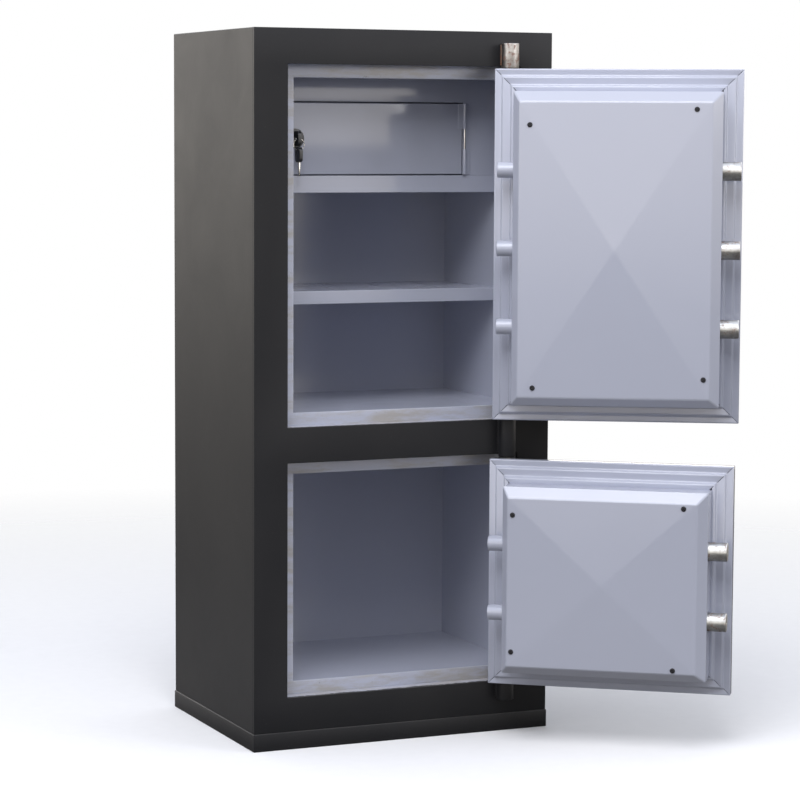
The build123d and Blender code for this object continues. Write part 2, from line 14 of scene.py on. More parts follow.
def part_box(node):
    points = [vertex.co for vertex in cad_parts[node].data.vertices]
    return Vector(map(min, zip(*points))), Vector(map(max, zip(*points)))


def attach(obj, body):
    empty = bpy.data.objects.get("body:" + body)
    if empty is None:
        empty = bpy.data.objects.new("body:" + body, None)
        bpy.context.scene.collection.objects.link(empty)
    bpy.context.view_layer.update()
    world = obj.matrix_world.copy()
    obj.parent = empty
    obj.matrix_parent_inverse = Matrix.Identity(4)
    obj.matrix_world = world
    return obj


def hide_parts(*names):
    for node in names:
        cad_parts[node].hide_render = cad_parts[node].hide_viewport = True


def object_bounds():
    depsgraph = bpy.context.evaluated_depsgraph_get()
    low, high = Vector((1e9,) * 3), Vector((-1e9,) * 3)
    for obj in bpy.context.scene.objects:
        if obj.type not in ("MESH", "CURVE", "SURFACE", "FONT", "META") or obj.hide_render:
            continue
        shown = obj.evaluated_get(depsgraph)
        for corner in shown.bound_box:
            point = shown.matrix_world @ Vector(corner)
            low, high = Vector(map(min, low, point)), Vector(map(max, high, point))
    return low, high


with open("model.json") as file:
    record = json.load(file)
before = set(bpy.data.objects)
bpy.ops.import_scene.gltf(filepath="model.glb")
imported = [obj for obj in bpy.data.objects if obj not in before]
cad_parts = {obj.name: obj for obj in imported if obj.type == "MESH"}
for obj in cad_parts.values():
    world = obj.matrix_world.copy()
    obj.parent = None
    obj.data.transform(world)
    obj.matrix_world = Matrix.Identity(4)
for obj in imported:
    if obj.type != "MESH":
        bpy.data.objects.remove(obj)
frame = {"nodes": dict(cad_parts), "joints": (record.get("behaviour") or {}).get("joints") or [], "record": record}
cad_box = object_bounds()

bl_info = {
    "name": "Two-door safe",
    "version": (1, 0, 0),
    "blender": (4, 5, 0),
    "location": "View3D > Sidebar > Safe",
    "description": "Models and finishes a two-door steel safe around its packed frame",
    "category": "Object",
}

DOORS = ("upper", "lower")
JOINTS = {joint["name"]: joint for joint in frame["joints"]}
SLOTS = {part["node"]: part["material_slot"] for part in frame["record"]["subparts"]}


def linear(hex_colour):
    """An sRGB hex colour as linear red, green, blue and alpha."""
    parts = [int(hex_colour[n:n + 2], 16) / 255 for n in (1, 3, 5)]
    parts = [c / 12.92 if c <= 0.04045 else ((c + 0.055) / 1.055) ** 2.4 for c in parts]
    return (*parts, 1.0)


# ---- user settings ----
def length(name, default, description):
    return bpy.props.FloatProperty(name=name, description=description, default=default, min=0.0,
                                   subtype="DISTANCE", unit="LENGTH", precision=4)


def colour(name, hex_colour, description):
    return bpy.props.FloatVectorProperty(name=name, description=description, subtype="COLOR", size=4,
                                         min=0.0, max=1.0, default=linear(hex_colour))


def amount(name, default, description, **kind):
    return bpy.props.FloatProperty(name=name, description=description, default=default, min=0.0, **kind)


def degree_angle(name, default, description):
    return bpy.props.FloatProperty(name=name, description=description, default=radians(default),
                                   subtype="ANGLE", unit="ROTATION")


class SafeStage(bpy.types.PropertyGroup):
    """Camera, floor and light."""
    aim: bpy.props.FloatVectorProperty(name="Aim", description="Point the camera looks at",
                                       default=(-0.0514, -0.3011, 0.6070), subtype="XYZ", unit="LENGTH")
    distance: length("Distance", 4.64, "From the aim point to the camera")
    azimuth: degree_angle("Azimuth", -23.75, "Turn of the camera about the safe")
    elevation: degree_angle("Elevation", 5.61, "Height angle of the camera")
    roll: degree_angle("Roll", 0.29, "Tilt of the camera about its own axis")
    lens: bpy.props.FloatProperty(name="Lens", description="Focal length on a 36 mm wide sensor",
                                  default=123.59, min=1.0, subtype="DISTANCE_CAMERA", unit="CAMERA")
    floor_radius: length("Floor radius", 3.6, "Radius of the round floor")
    key_power: amount("Key light", 95.0, "Power of the overhead softbox", subtype="POWER", unit="POWER")
    side_power: amount("Side light", 22.0, "Power of the softbox on the left", subtype="POWER", unit="POWER")
    front_power: amount("Front light", 34.0, "Power of the softbox at the front right",
                        subtype="POWER", unit="POWER")
    haze: amount("Haze", 3.0, "Brightness that gloss paint mirrors above the horizon")
    sky: amount("Sky", 0.42, "Strength of the even surrounding light")


class SafeSizes(bpy.types.PropertyGroup):
    """Sizes of the modelled detail."""
    bend: length("Sheet bend", 0.0024, "Outside radius of the bends in the door rims")
    rim_sheet: length("Rim sheet", 0.002, "Thickness of the rim sheet")
    mitre_gap: length("Mitre gap", 0.0009, "Open gap between two rim sections at a corner")
    crease: length("Cover crease", 0.0060, "Rise of the cover's middle above its edges")
    pan_bend: length("Cover bend", 0.0022, "Outside radius along the cover's edges")
    bead: length("Weld bead", 0.0024, "Radius of a weld bead at a hinge")
    edge: length("Plate edge", 0.0009, "Rounding of plate and frame edges")
    flange: length("Rim flange", 0.012, "Flat outer flange of the door rims")
    first_rise: length("First rise", 0.007, "Height of the rim's first step")
    second_step: length("Second step", 0.028, "Inset of the rim's second step")
    second_rise: length("Second rise", 0.016, "Height of the rim's second step")
    step_run: length("Step run", 0.002, "Run of each sloping step of the rim")
    cover_sheet: length("Cover sheet", 0.0018, "Thickness of the cover sheet")
    box_sheet: length("Box sheet", 0.003, "Thickness of the bolt box sheet")
    rim_depth: length("Rim depth", 0.014, "From the outer plate's back to the rim's flange")


class SafeColours(bpy.types.PropertyGroup):
    """Paint and metal colours."""
    body: colour("Body enamel", "#1A1B1F", "Charcoal enamel on the outside")
    inside: colour("Inside enamel", "#B5B9C8", "Blue-grey enamel inside and on the doors' backs")
    dust: colour("Dust", "#8D8A82", "Settled dust and workshop grime")
    stain: colour("Stain", "#9A8F74", "Yellowed smudges along lintels and sills")
    rust: colour("Rust", "#6A4028", "Rust on bare steel")
    steel: colour("Steel", "#A6A6A4", "Bare turned steel")


def settings():
    scene = bpy.context.scene
    return scene.safe_stage, scene.safe_sizes, scene.safe_colours


# ---- modelling help ----
def choose(*objects):
    """Makes these objects the only selected ones, and the last of them active."""
    bpy.ops.object.select_all(action="DESELECT")
    for one in objects:
        one.select_set(True)
    bpy.context.view_layer.objects.active = objects[-1]


def edit(piece):
    choose(piece)
    bpy.ops.object.mode_set(mode="EDIT")


def leave_edit():
    bpy.ops.object.mode_set(mode="OBJECT")


def pick(piece, kind, test):
    """In edit mode, selects the verts, edges or faces that pass the test and nothing else."""
    bpy.ops.mesh.select_mode(type={"verts": "VERT", "edges": "EDGE", "faces": "FACE"}[kind])
    bpy.ops.mesh.select_all(action="DESELECT")
    shape = bmesh.from_edit_mesh(piece.data)
    for one in getattr(shape, kind):
        if test(one):
            one.select_set(True)
    bmesh.update_edit_mesh(piece.data)


def bent(edge, least=12.0):
    """Whether two faces meet at an angle along this edge."""
    return len(edge.link_faces) == 2 and degrees(edge.calc_face_angle(0.0)) > least


def middle(edge):
    return (edge.verts[0].co + edge.verts[1].co) / 2


def apply_all(piece):
    choose(piece)
    bpy.ops.object.transform_apply(location=True, rotation=True, scale=True)


def add_modifier(piece, kind, **values):
    """Adds one modifier with its settings and applies it."""
    made = piece.modifiers.new(kind.title(), kind)
    for name, value in values.items():
        setattr(made, name, value)
    choose(piece)
    bpy.ops.object.modifier_apply(modifier=made.name)


def smooth(piece, angle=35.0):
    choose(piece)
    bpy.ops.object.shade_smooth_by_angle(angle=radians(angle))


def box_piece(name, low, high):
    """A cube primitive between two corners."""
    low, high = Vector(low), Vector(high)
    bpy.ops.mesh.primitive_cube_add(size=1, location=(low + high) / 2)
    piece = bpy.context.active_object
    piece.name = piece.data.name = name
    piece.scale = high - low
    apply_all(piece)
    return piece


def rod_piece(name, radius, start, end, sides=48):
    """A cylinder primitive from one point to another."""
    start, end = Vector(start), Vector(end)
    along = end - start
    bpy.ops.mesh.primitive_cylinder_add(vertices=sides, radius=radius, depth=along.length,
                                        location=(start + end) / 2,
                                        rotation=along.to_track_quat("Z", "Y").to_euler())
    piece = bpy.context.active_object
    piece.name = piece.data.name = name
    apply_all(piece)
    return piece


def tube_piece(name, outer, bore, start, end, sides=64):
    """A cylinder primitive whose end faces are inset to the bore and bridged through."""
    piece = rod_piece(name, outer, start, end, sides)
    along = (Vector(end) - Vector(start)).normalized()
    edit(piece)
    pick(piece, "faces", lambda f: abs(f.normal.dot(along)) > 0.99)
    bpy.ops.mesh.inset(thickness=outer - bore)
    bpy.ops.mesh.bridge_edge_loops()
    leave_edit()
    return piece


def soften(piece, width, segments=3, angle=50.0):
    """Rounds the edges that are sharper than the angle."""
    add_modifier(piece, "BEVEL", width=width, segments=segments, limit_method="ANGLE",
                 angle_limit=radians(angle), use_clamp_overlap=True)
    smooth(piece)
    return piece


def weld_bead(radius, start, height, pitch=0.0018, thin=0.82, swell=1.22):
    """A weld bead rising from start: a rod divided along its length, every other ring swollen."""
    start = Vector(start)
    bead = rod_piece("bead", radius * thin, start, start + Vector((0, 0, height)), 12)
    edit(bead)
    pick(bead, "edges", lambda e: abs(e.verts[0].co.z - e.verts[1].co.z) > 0.5 * height)
    cuts = 2 * int(height / pitch / 2) + 1
    bpy.ops.mesh.subdivide(number_cuts=cuts)
    step = height / (cuts + 1)
    pick(bead, "verts", lambda v: round((v.co.z - start.z) / step) % 2 == 1)
    bpy.ops.transform.resize(value=(swell, swell, 1.0), center_override=start)
    leave_edit()
    smooth(bead, 60)
    return bead


def coated(piece, name):
    """Gives a piece one material and hands the piece back."""
    piece.data.materials.clear()
    piece.data.materials.append(finish(name))
    return piece


def join(name, pieces):
    choose(*pieces)
    if len(pieces) > 1:
        bpy.ops.object.join()
    piece = bpy.context.active_object
    piece.name = piece.data.name = name
    return piece


def cut(piece, *cutters):
    """Takes the cutters' shapes out of a piece."""
    for cutter in cutters:
        add_modifier(piece, "BOOLEAN", object=cutter, operation="DIFFERENCE", solver="EXACT")
        bpy.data.objects.remove(cutter)


def twin(piece, name, move=Matrix.Identity(4)):
    """A copy with a mesh of its own, moved."""
    other = bpy.data.objects.new(name, piece.data.copy())
    other.data.name = name
    bpy.context.scene.collection.objects.link(other)
    other.data.transform(move)
    return other


def rounded(node, width, segments=3, angle=30.0, flat=0.4):
    """A merged copy of a CAD node whose sharp edges are rounded."""
    piece = twin(frame["nodes"][node], node + "_finished")
    edit(piece)
    bpy.ops.mesh.customdata_custom_splitnormals_clear()
    bpy.ops.mesh.select_all(action="SELECT")
    bpy.ops.mesh.remove_doubles(threshold=2e-5)
    bpy.ops.mesh.dissolve_limited(angle_limit=radians(flat))
    leave_edit()
    add_modifier(piece, "BEVEL", width=width, segments=segments, limit_method="ANGLE",
                 angle_limit=radians(angle), miter_outer="MITER_ARC", use_clamp_overlap=True)
    smooth(piece)
    add_modifier(piece, "WEIGHTED_NORMAL", keep_sharp=True, weight=80)
    return piece


def levels(node, axis):
    """The distinct coordinates of a CAD node's corners along one axis, from low to high."""
    return sorted({round(v.co[axis], 5) for v in frame["nodes"][node].data.vertices})


def pierced(name, low, high, holes, width):
    """An upright plate between two corners, with rectangular holes (x, z, x, z), its edges rounded:
    a plane bisected along the holes, its faces there deleted, then given its thickness."""
    bpy.ops.mesh.primitive_plane_add(size=1, rotation=(pi / 2, 0, 0), location=(
        (low[0] + high[0]) / 2, low[1], (low[2] + high[2]) / 2))
    plate = bpy.context.active_object
    plate.name = plate.data.name = name
    plate.scale = (high[0] - low[0], high[2] - low[2], 1)
    apply_all(plate)
    edit(plate)
    for x0, z0, x1, z1 in holes:
        for place, normal in (((x0, 0, 0), (1, 0, 0)), ((x1, 0, 0), (1, 0, 0)),
                              ((0, 0, z0), (0, 0, 1)), ((0, 0, z1), (0, 0, 1))):
            bpy.ops.mesh.select_all(action="SELECT")
            bpy.ops.mesh.bisect(plane_co=place, plane_no=normal)
    for x0, z0, x1, z1 in holes:
        pick(plate, "faces", lambda f: x0 < f.calc_center_median().x < x1
             and z0 < f.calc_center_median().z < z1)
        bpy.ops.mesh.delete(type="FACE")
    leave_edit()
    add_modifier(plate, "SOLIDIFY", thickness=high[1] - low[1], offset=-1)
    add_modifier(plate, "BEVEL", width=width, segments=3, limit_method="ANGLE", angle_limit=radians(30))
    smooth(plate)
    return plate


def tube_walls(name, low, high, wall, width):
    """Four upright walls, open at front and back, thickened outwards."""
    walls = box_piece(name, low, high)
    edit(walls)
    pick(walls, "faces", lambda f: abs(f.normal.y) > 0.9)
    bpy.ops.mesh.delete(type="FACE")
    leave_edit()
    add_modifier(walls, "SOLIDIFY", thickness=wall, offset=1, use_even_offset=True)
    add_modifier(walls, "BEVEL", width=width, segments=2, limit_method="ANGLE", angle_limit=radians(30))
    smooth(walls)
    return walls


def settle(piece, body, slot, material, *nodes):
    """Gives a finished piece its material, or None where its parts have theirs, and its body, and hides
    the CAD nodes it stands for.  Its slot is not used."""
    if material is not None:
        piece.data.materials.clear()
        piece.data.materials.append(material)
    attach(piece, body)
    if nodes:
        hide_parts(*nodes)
    return piece


# ---- the main doors' closed layout ----
def hang(door):
    """The move that takes a door from closed to the angle it stands open."""
    joint = JOINTS[f"{door}_door_swing"]
    axis = Vector((joint["pos_m"][0], joint["pos_m"][1], 0))
    turn = Matrix.Rotation(radians(-joint["range_deg"][0]), 4, "Z")
    return Matrix.Translation(axis) @ turn @ Matrix.Translation(-axis)


def closed_box(door, node):
    """Lowest and highest corner of a door's node as on the closed door."""
    back = hang(door).inverted()
    places = [back @ v.co for v in frame["nodes"][f"{door}_door_{node}"].data.vertices]
    return (Vector([min(p[n] for p in places) for n in range(3)]),
            Vector([max(p[n] for p in places) for n in range(3)]))


def solids(node, back=Matrix.Identity(4)):
    """The boxes of the separate solids in one CAD node, each moved by back, from low to high."""
    shape = bmesh.new()
    shape.from_mesh(frame["nodes"][node].data)
    bmesh.ops.remove_doubles(shape, verts=shape.verts, dist=2e-5)
    left, boxes = set(shape.verts), []
    while left:
        ring, seen = [left.pop()], []
        while ring:
            vert = ring.pop()
            seen.append(back @ vert.co)
            for edge in vert.link_edges:
                other = edge.other_vert(vert)
                if other in left:
                    left.discard(other)
                    ring.append(other)
        boxes.append((Vector([min(p[n] for p in seen) for n in range(3)]),
                      Vector([max(p[n] for p in seen) for n in range(3)])))
    shape.free()
    return sorted(boxes, key=lambda pair: pair[0].z)


def shells(door, node):
    """The boxes of the separate solids in a door's node, as on the closed door."""
    return solids(f"{door}_door_{node}", hang(door).inverted())


# ---- materials ----
finishes = {}


def feed(tree, node, inputs):
    """Gives each of these sockets, by name or number, a value or the socket that feeds it."""
    for name, value in inputs.items():
        if isinstance(value, bpy.types.NodeSocket):
            tree.links.new(value, node.inputs[name])
        else:
            node.inputs[name].default_value = value


def add(tree, kind, inputs=None, **values):
    """Adds one shader node: values are its settings, and inputs is what feeds it."""
    node = tree.nodes.new("ShaderNode" + kind)
    for name, value in values.items():
        setattr(node, name, value)
    feed(tree, node, inputs or {})
    return node


def start_finish(name, door=None):
    """A new material, its tree, its shader and the place socket its patterns read.  Patterns of a
    door's own pieces are turned back to the closed door, so that X runs along the door."""
    made = bpy.data.materials.new(name)
    made.use_nodes = True
    tree = made.node_tree
    shader = next(node for node in tree.nodes if node.type == "BSDF_PRINCIPLED")
    place = add(tree, "TexCoord").outputs["Object"]
    if door:
        back = hang(door).inverted()
        place = add(tree, "Mapping", {"Vector": place, "Location": back.to_translation(),
                                      "Rotation": back.to_euler()}).outputs[0]
    finishes[name] = made
    return made, tree, shader, place


def sprayed_enamel(name, colour, rough, peel, grime=0.25, door=None):
    """Synthetic enamel sprayed on folded steel: orange peel and faint waves in the reflection,
    slightly uneven thickness, and dust where it can settle."""
    made, tree, shader, place = start_finish(name, door)
    dust = settings()[2].dust
    # clouds of 300 mm: uneven film thickness
    cloud = add(tree, "TexNoise", {"Vector": place, "Scale": 3.3, "Detail": 3.0, "Roughness": 0.6})
    light = add(tree, "Mix", {0: 0.06, 6: colour, 7: dust}, data_type="RGBA")
    tone = add(tree, "Mix", {0: cloud.outputs[0], 6: colour, 7: light.outputs[2]}, data_type="RGBA")
    # specks of 2 mm: dirt nibs in the film
    nib = add(tree, "TexNoise", {"Vector": place, "Scale": 420.0, "Detail": 2.0, "Roughness": 0.5})
    nibs = add(tree, "MapRange", {0: nib.outputs[0], 1: 0.70, 2: 0.78, 3: 0.0, 4: grime})
    speck = add(tree, "Mix", {0: nibs.outputs[0], 6: tone.outputs[2], 7: dust}, data_type="RGBA")
    # dust lies on what faces up, in patches of about 60 mm
    facing = add(tree, "SeparateXYZ", {0: add(tree, "NewGeometry").outputs["Normal"]})
    upward = add(tree, "MapRange", {0: facing.outputs[2], 1: 0.35, 2: 1.0, 3: 0.0, 4: grime})
    patch = add(tree, "TexNoise", {"Vector": place, "Scale": 16.0, "Detail": 5.0, "Roughness": 0.65})
    patches = add(tree, "MapRange", {0: patch.outputs[0], 1: 0.25, 2: 0.80, 3: 0.5, 4: 1.0})
    settled = add(tree, "Math", {0: upward.outputs[0], 1: patches.outputs[0]}, operation="MULTIPLY")
    dusty = add(tree, "Mix", {0: settled.outputs[0], 6: speck.outputs[2], 7: dust}, data_type="RGBA")
    # handling marks of 30 to 200 mm in the gloss
    smear = add(tree, "TexNoise", {"Vector": place, "Scale": 9.0, "Detail": 6.0, "Roughness": 0.7,
                                   "Distortion": 0.6})
    dull = add(tree, "MapRange", {0: smear.outputs[0], 1: 0.30, 2: 0.80, 3: rough, 4: rough + 0.07})
    duller = add(tree, "Math", {0: settled.outputs[0], 1: 0.5, 2: dull.outputs[0]}, operation="MULTIPLY_ADD")
    # orange peel of 3 mm, and sheet waves of 120 mm
    skin = add(tree, "TexNoise", {"Vector": place, "Scale": 330.0, "Detail": 1.0})
    wave = add(tree, "TexNoise", {"Vector": place, "Scale": 8.0, "Detail": 0.0})
    rise = add(tree, "Math", {0: wave.outputs[0], 1: 9.0, 2: skin.outputs[0]}, operation="MULTIPLY_ADD")
    bump = add(tree, "Bump", {"Height": rise.outputs[0], "Strength": 1.0, "Distance": peel})
    feed(tree, shader, {"Base Color": dusty.outputs[2], "Roughness": duller.outputs[0],
                        "Normal": bump.outputs[0], "IOR": 1.5})
    return made, tree, shader, place, dusty


def charcoal_enamel():
    """Satin charcoal enamel over the welded body: near black, a soft sheen, faint dust."""
    made, _, shader, _, _ = sprayed_enamel("charcoal_enamel", settings()[2].body, 0.38, 0.000035, 0.16)
    shader.inputs["Specular IOR Level"].default_value = 0.12
    return made


def blue_grey_enamel():
    """Gloss blue-grey enamel inside and on the doors' backs."""
    return sprayed_enamel("blue_grey_enamel", settings()[2].inside, 0.11, 0.00002, 0.05)[0]


def soiled_blue_grey_enamel():
    """The same enamel on the door openings' edges, with smudges along lintels and sills and a ragged
    edge of charcoal overspray towards the face."""
    made, tree, shader, place, paint = sprayed_enamel(
        "soiled_blue_grey_enamel", settings()[2].inside, 0.27, 0.00003, 0.2)
    colours = settings()[2]
    split = add(tree, "SeparateXYZ", {0: place})
    # smudges of 40 mm, drawn out along the rail
    long = add(tree, "Mapping", {"Vector": place, "Scale": (0.35, 1.0, 1.6)})
    blot = add(tree, "TexNoise", {"Vector": long.outputs[0], "Scale": 26.0, "Detail": 6.0, "Roughness": 0.7})
    blots = add(tree, "MapRange", {0: blot.outputs[0], 1: 0.44, 2: 0.62, 3: 0.0, 4: 0.5})
    stained = add(tree, "Mix", {0: blots.outputs[0], 6: paint.outputs[2], 7: colours.stain}, data_type="RGBA")
    # overspray reaches about 3 mm over the edge
    ragged = add(tree, "TexNoise", {"Vector": place, "Scale": 90.0, "Detail": 5.0, "Roughness": 0.7})
    face = cad_box[0].y
    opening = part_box("upper_jamb")[0].y
    depth = add(tree, "MapRange", {0: split.outputs[1], 1: opening, 2: opening + 0.006, 3: 0.62, 4: 0.30})
    reach = add(tree, "Math", {0: depth.outputs[0], 1: ragged.outputs[0]}, operation="SUBTRACT")
    over = add(tree, "MapRange", {0: reach.outputs[0], 1: -0.04, 2: 0.05, 3: 0.0, 4: 1.0})
    edge = add(tree, "Mix", {0: over.outputs[0], 6: stained.outputs[2], 7: colours.body}, data_type="RGBA")
    tree.links.new(edge.outputs[2], shader.inputs["Base Color"])
    return made


def bare_steel(name, colour, rough, rust_share, door=None):
    """Turned and handled mild steel: fine tool rings, dark handling film, rust blooms."""
    made, tree, shader, place = start_finish(name, door)
    colours = settings()[2]
    # tool marks 0.6 mm apart around the bar, drawn coarse enough to show
    rings = add(tree, "Mapping", {"Vector": place, "Scale": (1.0, 0.06, 0.06)})
    mark = add(tree, "TexNoise", {"Vector": rings.outputs[0], "Scale": 1600.0, "Detail": 2.0})
    film = add(tree, "TexNoise", {"Vector": place, "Scale": 70.0, "Detail": 6.0, "Roughness": 0.7})
    films = add(tree, "MapRange", {0: film.outputs[0], 1: 0.4, 2: 0.7, 3: 0.0, 4: 0.55})
    dark = add(tree, "Mix", {0: films.outputs[0], 6: colour, 7: linear("#4E4D4B")}, data_type="RGBA")
    bloom = add(tree, "TexNoise", {"Vector": place, "Scale": 110.0, "Detail": 7.0, "Roughness": 0.75})
    blooms = add(tree, "MapRange", {0: bloom.outputs[0], 1: 0.60 - rust_share, 2: 0.72 - rust_share,
                                    3: 0.0, 4: 0.9})
    rusty = add(tree, "Mix", {0: blooms.outputs[0], 6: dark.outputs[2], 7: colours.rust}, data_type="RGBA")
    metal = add(tree, "MapRange", {0: blooms.outputs[0], 1: 0.0, 2: 0.9, 3: 1.0, 4: 0.15})
    dull = add(tree, "MapRange", {0: blooms.outputs[0], 1: 0.0, 2: 0.9, 3: rough, 4: 0.8})
    rise = add(tree, "Math", {0: blooms.outputs[0], 1: 1.2, 2: mark.outputs[0]}, operation="MULTIPLY_ADD")
    bump = add(tree, "Bump", {"Height": rise.outputs[0], "Strength": 0.5, "Distance": 0.00012})
    feed(tree, shader, {"Base Color": rusty.outputs[2], "Metallic": metal.outputs[0],
                        "Roughness": dull.outputs[0], "Normal": bump.outputs[0]})
    return made


def bolt_steel(door):
    """Turned mild steel of the live bolts, lightly rusted."""
    return bare_steel(f"{door}_bolt_steel", settings()[2].steel, 0.38, 0.06, door)


def hinge_steel():
    """Bare ground steel of the hinge pins."""
    return bare_steel("ground_hinge_steel", linear("#C3C1BC"), 0.28, 0.0)


def scraped_hinge_steel():
    """Top hinge barrel, scraped bright through its paint and rusting at the welds."""
    return bare_steel("scraped_hinge_steel", linear("#8F8C89"), 0.36, 0.10)


def weld_metal():
    """Mild steel weld bead, left unpainted and rusting."""
    return bare_steel("rusting_weld_metal", linear("#6F675F"), 0.55, 0.16)


def zinc_plated_steel():
    """Zinc-plated pressings of the bolt work: pale, faintly mottled."""
    made, tree, shader, place = start_finish("zinc_plated_steel")
    spangle = add(tree, "TexVoronoi", {"Vector": place, "Scale": 180.0})
    tone = add(tree, "Mix", {0: spangle.outputs[0], 6: linear("#A9ACAF"), 7: linear("#8D9094")},
               data_type="RGBA")
    dull = add(tree, "MapRange", {0: spangle.outputs[0], 1: 0.0, 2: 1.0, 3: 0.30, 4: 0.45})
    feed(tree, shader, {"Base Color": tone.outputs[2], "Roughness": dull.outputs[0], "Metallic": 1.0})
    return made


def blackened_screw_steel():
    """Black-oxide screw heads, worn slightly bright in fine specks."""
    made, tree, shader, place = start_finish("blackened_screw_steel")
    wear = add(tree, "TexNoise", {"Vector": place, "Scale": 700.0, "Detail": 4.0, "Roughness": 0.7})
    worn = add(tree, "MapRange", {0: wear.outputs[0], 1: 0.55, 2: 0.75, 3: 0.0, 4: 0.5})
    tone = add(tree, "Mix", {0: worn.outputs[0], 6: linear("#26262A"), 7: linear("#6B6A6C")},
               data_type="RGBA")
    feed(tree, shader, {"Base Color": tone.outputs[2], "Metallic": 0.8, "Roughness": 0.42})
    return made


def chromed_steel():
    """Bright chrome plate on the outside handles, with fine wiping marks."""
    made, tree, shader, place = start_finish("chromed_steel")
    wipe = add(tree, "TexNoise", {"Vector": place, "Scale": 60.0, "Detail": 6.0, "Distortion": 1.0})
    dull = add(tree, "MapRange", {0: wipe.outputs[0], 1: 0.4, 2: 0.7, 3: 0.07, 4: 0.16})
    feed(tree, shader, {"Roughness": dull.outputs[0], "Base Color": linear("#D5D6D8"), "Metallic": 1.0})
    return made


def nickelled_steel():
    """Nickel-plated key blades, cam and ring."""
    made, tree, shader, place = start_finish("nickelled_steel")
    scratch = add(tree, "TexNoise", {"Vector": place, "Scale": 500.0, "Detail": 4.0, "Roughness": 0.7})
    dull = add(tree, "MapRange", {0: scratch.outputs[0], 1: 0.4, 2: 0.7, 3: 0.16, 4: 0.34})
    feed(tree, shader, {"Roughness": dull.outputs[0], "Base Color": linear("#C5C2BB"), "Metallic": 1.0})
    return made


def black_moulded_plastic():
    """Black ABS key heads and lock rosette, with a fine moulded grain."""
    made, tree, shader, place = start_finish("black_moulded_plastic")
    grain = add(tree, "TexNoise", {"Vector": place, "Scale": 900.0, "Detail": 2.0})
    tone = add(tree, "Mix", {0: grain.outputs[0], 6: linear("#161618"), 7: linear("#242427")},
               data_type="RGBA")
    bump = add(tree, "Bump", {"Height": grain.outputs[0], "Strength": 0.4, "Distance": 0.0001})
    feed(tree, shader, {"Base Color": tone.outputs[2], "Normal": bump.outputs[0], "Roughness": 0.38})
    return made


def cast_fire_fill():
    """Cast light concrete between casing and liners: pale, porous."""
    made, tree, shader, place = start_finish("cast_fire_fill")
    pore = add(tree, "TexNoise", {"Vector": place, "Scale": 160.0, "Detail": 6.0, "Roughness": 0.7})
    tone = add(tree, "Mix", {0: pore.outputs[0], 6: linear("#8C877E"), 7: linear("#C9C4BA")},
               data_type="RGBA")
    bump = add(tree, "Bump", {"Height": pore.outputs[0], "Strength": 0.6, "Distance": 0.001})
    feed(tree, shader, {"Base Color": tone.outputs[2], "Normal": bump.outputs[0], "Roughness": 0.9})
    return made


def finish(name):
    """The named material, made on first use."""
    makers = {
        "charcoal_enamel": charcoal_enamel, "blue_grey_enamel": blue_grey_enamel,
        "soiled_blue_grey_enamel": soiled_blue_grey_enamel,
        "upper_bolt_steel": lambda: bolt_steel("upper"), "lower_bolt_steel": lambda: bolt_steel("lower"),
        "ground_hinge_steel": hinge_steel, "scraped_hinge_steel": scraped_hinge_steel,
        "rusting_weld_metal": weld_metal, "zinc_plated_steel": zinc_plated_steel,
        "blackened_screw_steel": blackened_screw_steel, "chromed_steel": chromed_steel,
        "nickelled_steel": nickelled_steel, "black_moulded_plastic": black_moulded_plastic,
        "cast_fire_fill": cast_fire_fill,
    }
    return finishes.get(name) or makers[name]()


SLOT_FINISH = {
    "charcoal_paint": "charcoal_enamel", "blue_grey_paint": "blue_grey_enamel",
    "pin_steel": "zinc_plated_steel", "screw_steel": "blackened_screw_steel",
    "handle_chrome": "chromed_steel", "black_plastic": "black_moulded_plastic",
    "key_steel": "nickelled_steel", "insulation": "cast_fire_fill",
}


